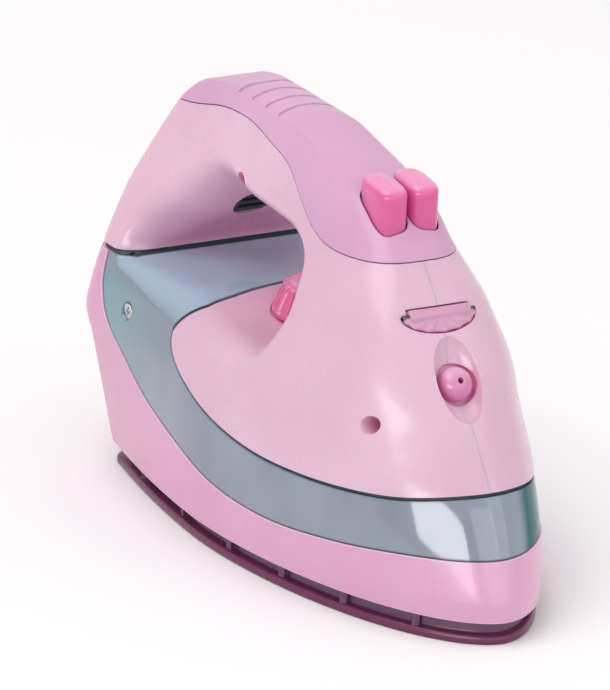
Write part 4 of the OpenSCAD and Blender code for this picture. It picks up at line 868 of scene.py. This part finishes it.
flap = combined(shell, (join, barrel), (cut, moved(rod(*flutes["pinHole"], 40), roll=90)))
finished("fillerFlap", placed(flap, **flapSpot), "filler_flap", "flap", ["filler_flap"])

# Nozzle: a round tip with a small bore, on a collar.
nozzle = {"shank": 2.4, "shankEnd": -11.0, "shoulder": -5.0, "collar": 5.0, "domeFoot": -2.6, "flat": 1.1,
          "domeWide": 3.9, "domeTall": 3.5, "mouth": (0.95, 0.7), "bore": 0.9}
profile = [(nozzle["shank"], nozzle["shankEnd"]), (nozzle["shank"], nozzle["shoulder"]),
           (nozzle["collar"], nozzle["shoulder"]), (nozzle["collar"], nozzle["domeFoot"])]
for a in np.linspace(0.12, math.pi / 2, 14):
    profile.append((nozzle["flat"] + nozzle["domeWide"] * math.cos(a),
                    nozzle["domeFoot"] + nozzle["domeTall"] * math.sin(a)))
tip = combined(spun(profile + [nozzle["mouth"]], 80), (cut, rod(nozzle["bore"], 40, 40)))
finished("sprayNozzle", placed(tip, **nozzleSpot), "housing", "flap", ["spray_nozzle"], look="nozzle")

# Pieces that keep their CAD shape get the finish of their material slot.
nodeSlots = {part["node"]: part["material_slot"] for part in frame["record"]["subparts"]}
for name, obj in frame["nodes"].items():
    obj.data.materials.clear()
    obj.data.materials.append(finishes["pin" if name == "flap_pin" else nodeSlots[name]])
print("CAD pieces finished")

# Studio: a wide pale floor, a soft key, a fill, and two panels that only show as reflections.
studio = {"floor": (0.94, 0.93, 0.935), "speckle": 0.985, "speckleScale": 3.0, "rough": 0.9,
          "reach": 20.0, "drop": 0.0001, "world": 0.76, "sky": (1.0, 0.985, 0.99, 1.0)}
floorMesh = bpy.data.meshes.new("floor")
floorCorners = [(x * studio["reach"], y * studio["reach"], -studio["drop"])
                for x, y in ((-1, -1), (1, -1), (1, 1), (-1, 1))]
floorMesh.from_pydata(floorCorners, [], [(0, 1, 2, 3)])
floorFinish = Finish("floorFinish")
speckle = floorFinish.noise(floorFinish.place(), studio["speckleScale"])
darker = tuple(c * studio["speckle"] for c in studio["floor"])
floorTone = floorFinish.between(speckle, studio["floor"], darker)
floorMesh.materials.append(floorFinish.close(floorFinish.node("ShaderNodeBsdfPrincipled", {}, {
    "Base Color": floorTone, "Roughness": studio["rough"]})))
floor = bpy.data.objects.new("floor", floorMesh)
scene.collection.objects.link(floor)

world = bpy.data.worlds.new("studio")
world.use_nodes = True
world.node_tree.nodes["Background"].inputs["Color"].default_value = studio["sky"]
world.node_tree.nodes["Background"].inputs["Strength"].default_value = studio["world"]
scene.world = world

# Each way is a share of the camera's back, right and up.
panels = {
    "keyPanel": {"way": (0.60, -0.35, 0.80), "distance": 1.9, "size": (1.5, 1.2), "energy": 15.5},
    "fillPanel": {"way": (0.50, 0.90, 0.30), "distance": 2.2, "size": (1.2, 1.6), "energy": 4.6},
    "windowPanel": {"way": (0.90, -0.33, -0.10), "distance": 3.3, "size": (2.4, 1.1), "energy": 55.0,
                    "onlyShine": True},
    "doorPanel": {"way": (0.80, 0.52, 0.0), "distance": 3.3, "size": (2.3, 1.6), "energy": 16.0,
                  "onlyShine": True}}
axes = Matrix(directions(camera["azimuth"], camera["elevation"])).transposed()
for name, panel in panels.items():
    light = bpy.data.lights.new(name, "AREA")
    light.shape, light.size, light.size_y = "RECTANGLE", *panel["size"]
    light.energy = panel["energy"]
    lamp = bpy.data.objects.new(name, light)
    way = (axes @ Vector(panel["way"])).normalized()
    lamp.location = Vector(camera["aim"]) + way * panel["distance"]
    lamp.rotation_mode = "QUATERNION"
    lamp.rotation_quaternion = way.to_track_quat("Z", "Y")
    lamp.visible_diffuse = not panel.get("onlyShine", False)
    scene.collection.objects.link(lamp)
scene.view_settings.view_transform = "Standard"
print("studio lit")
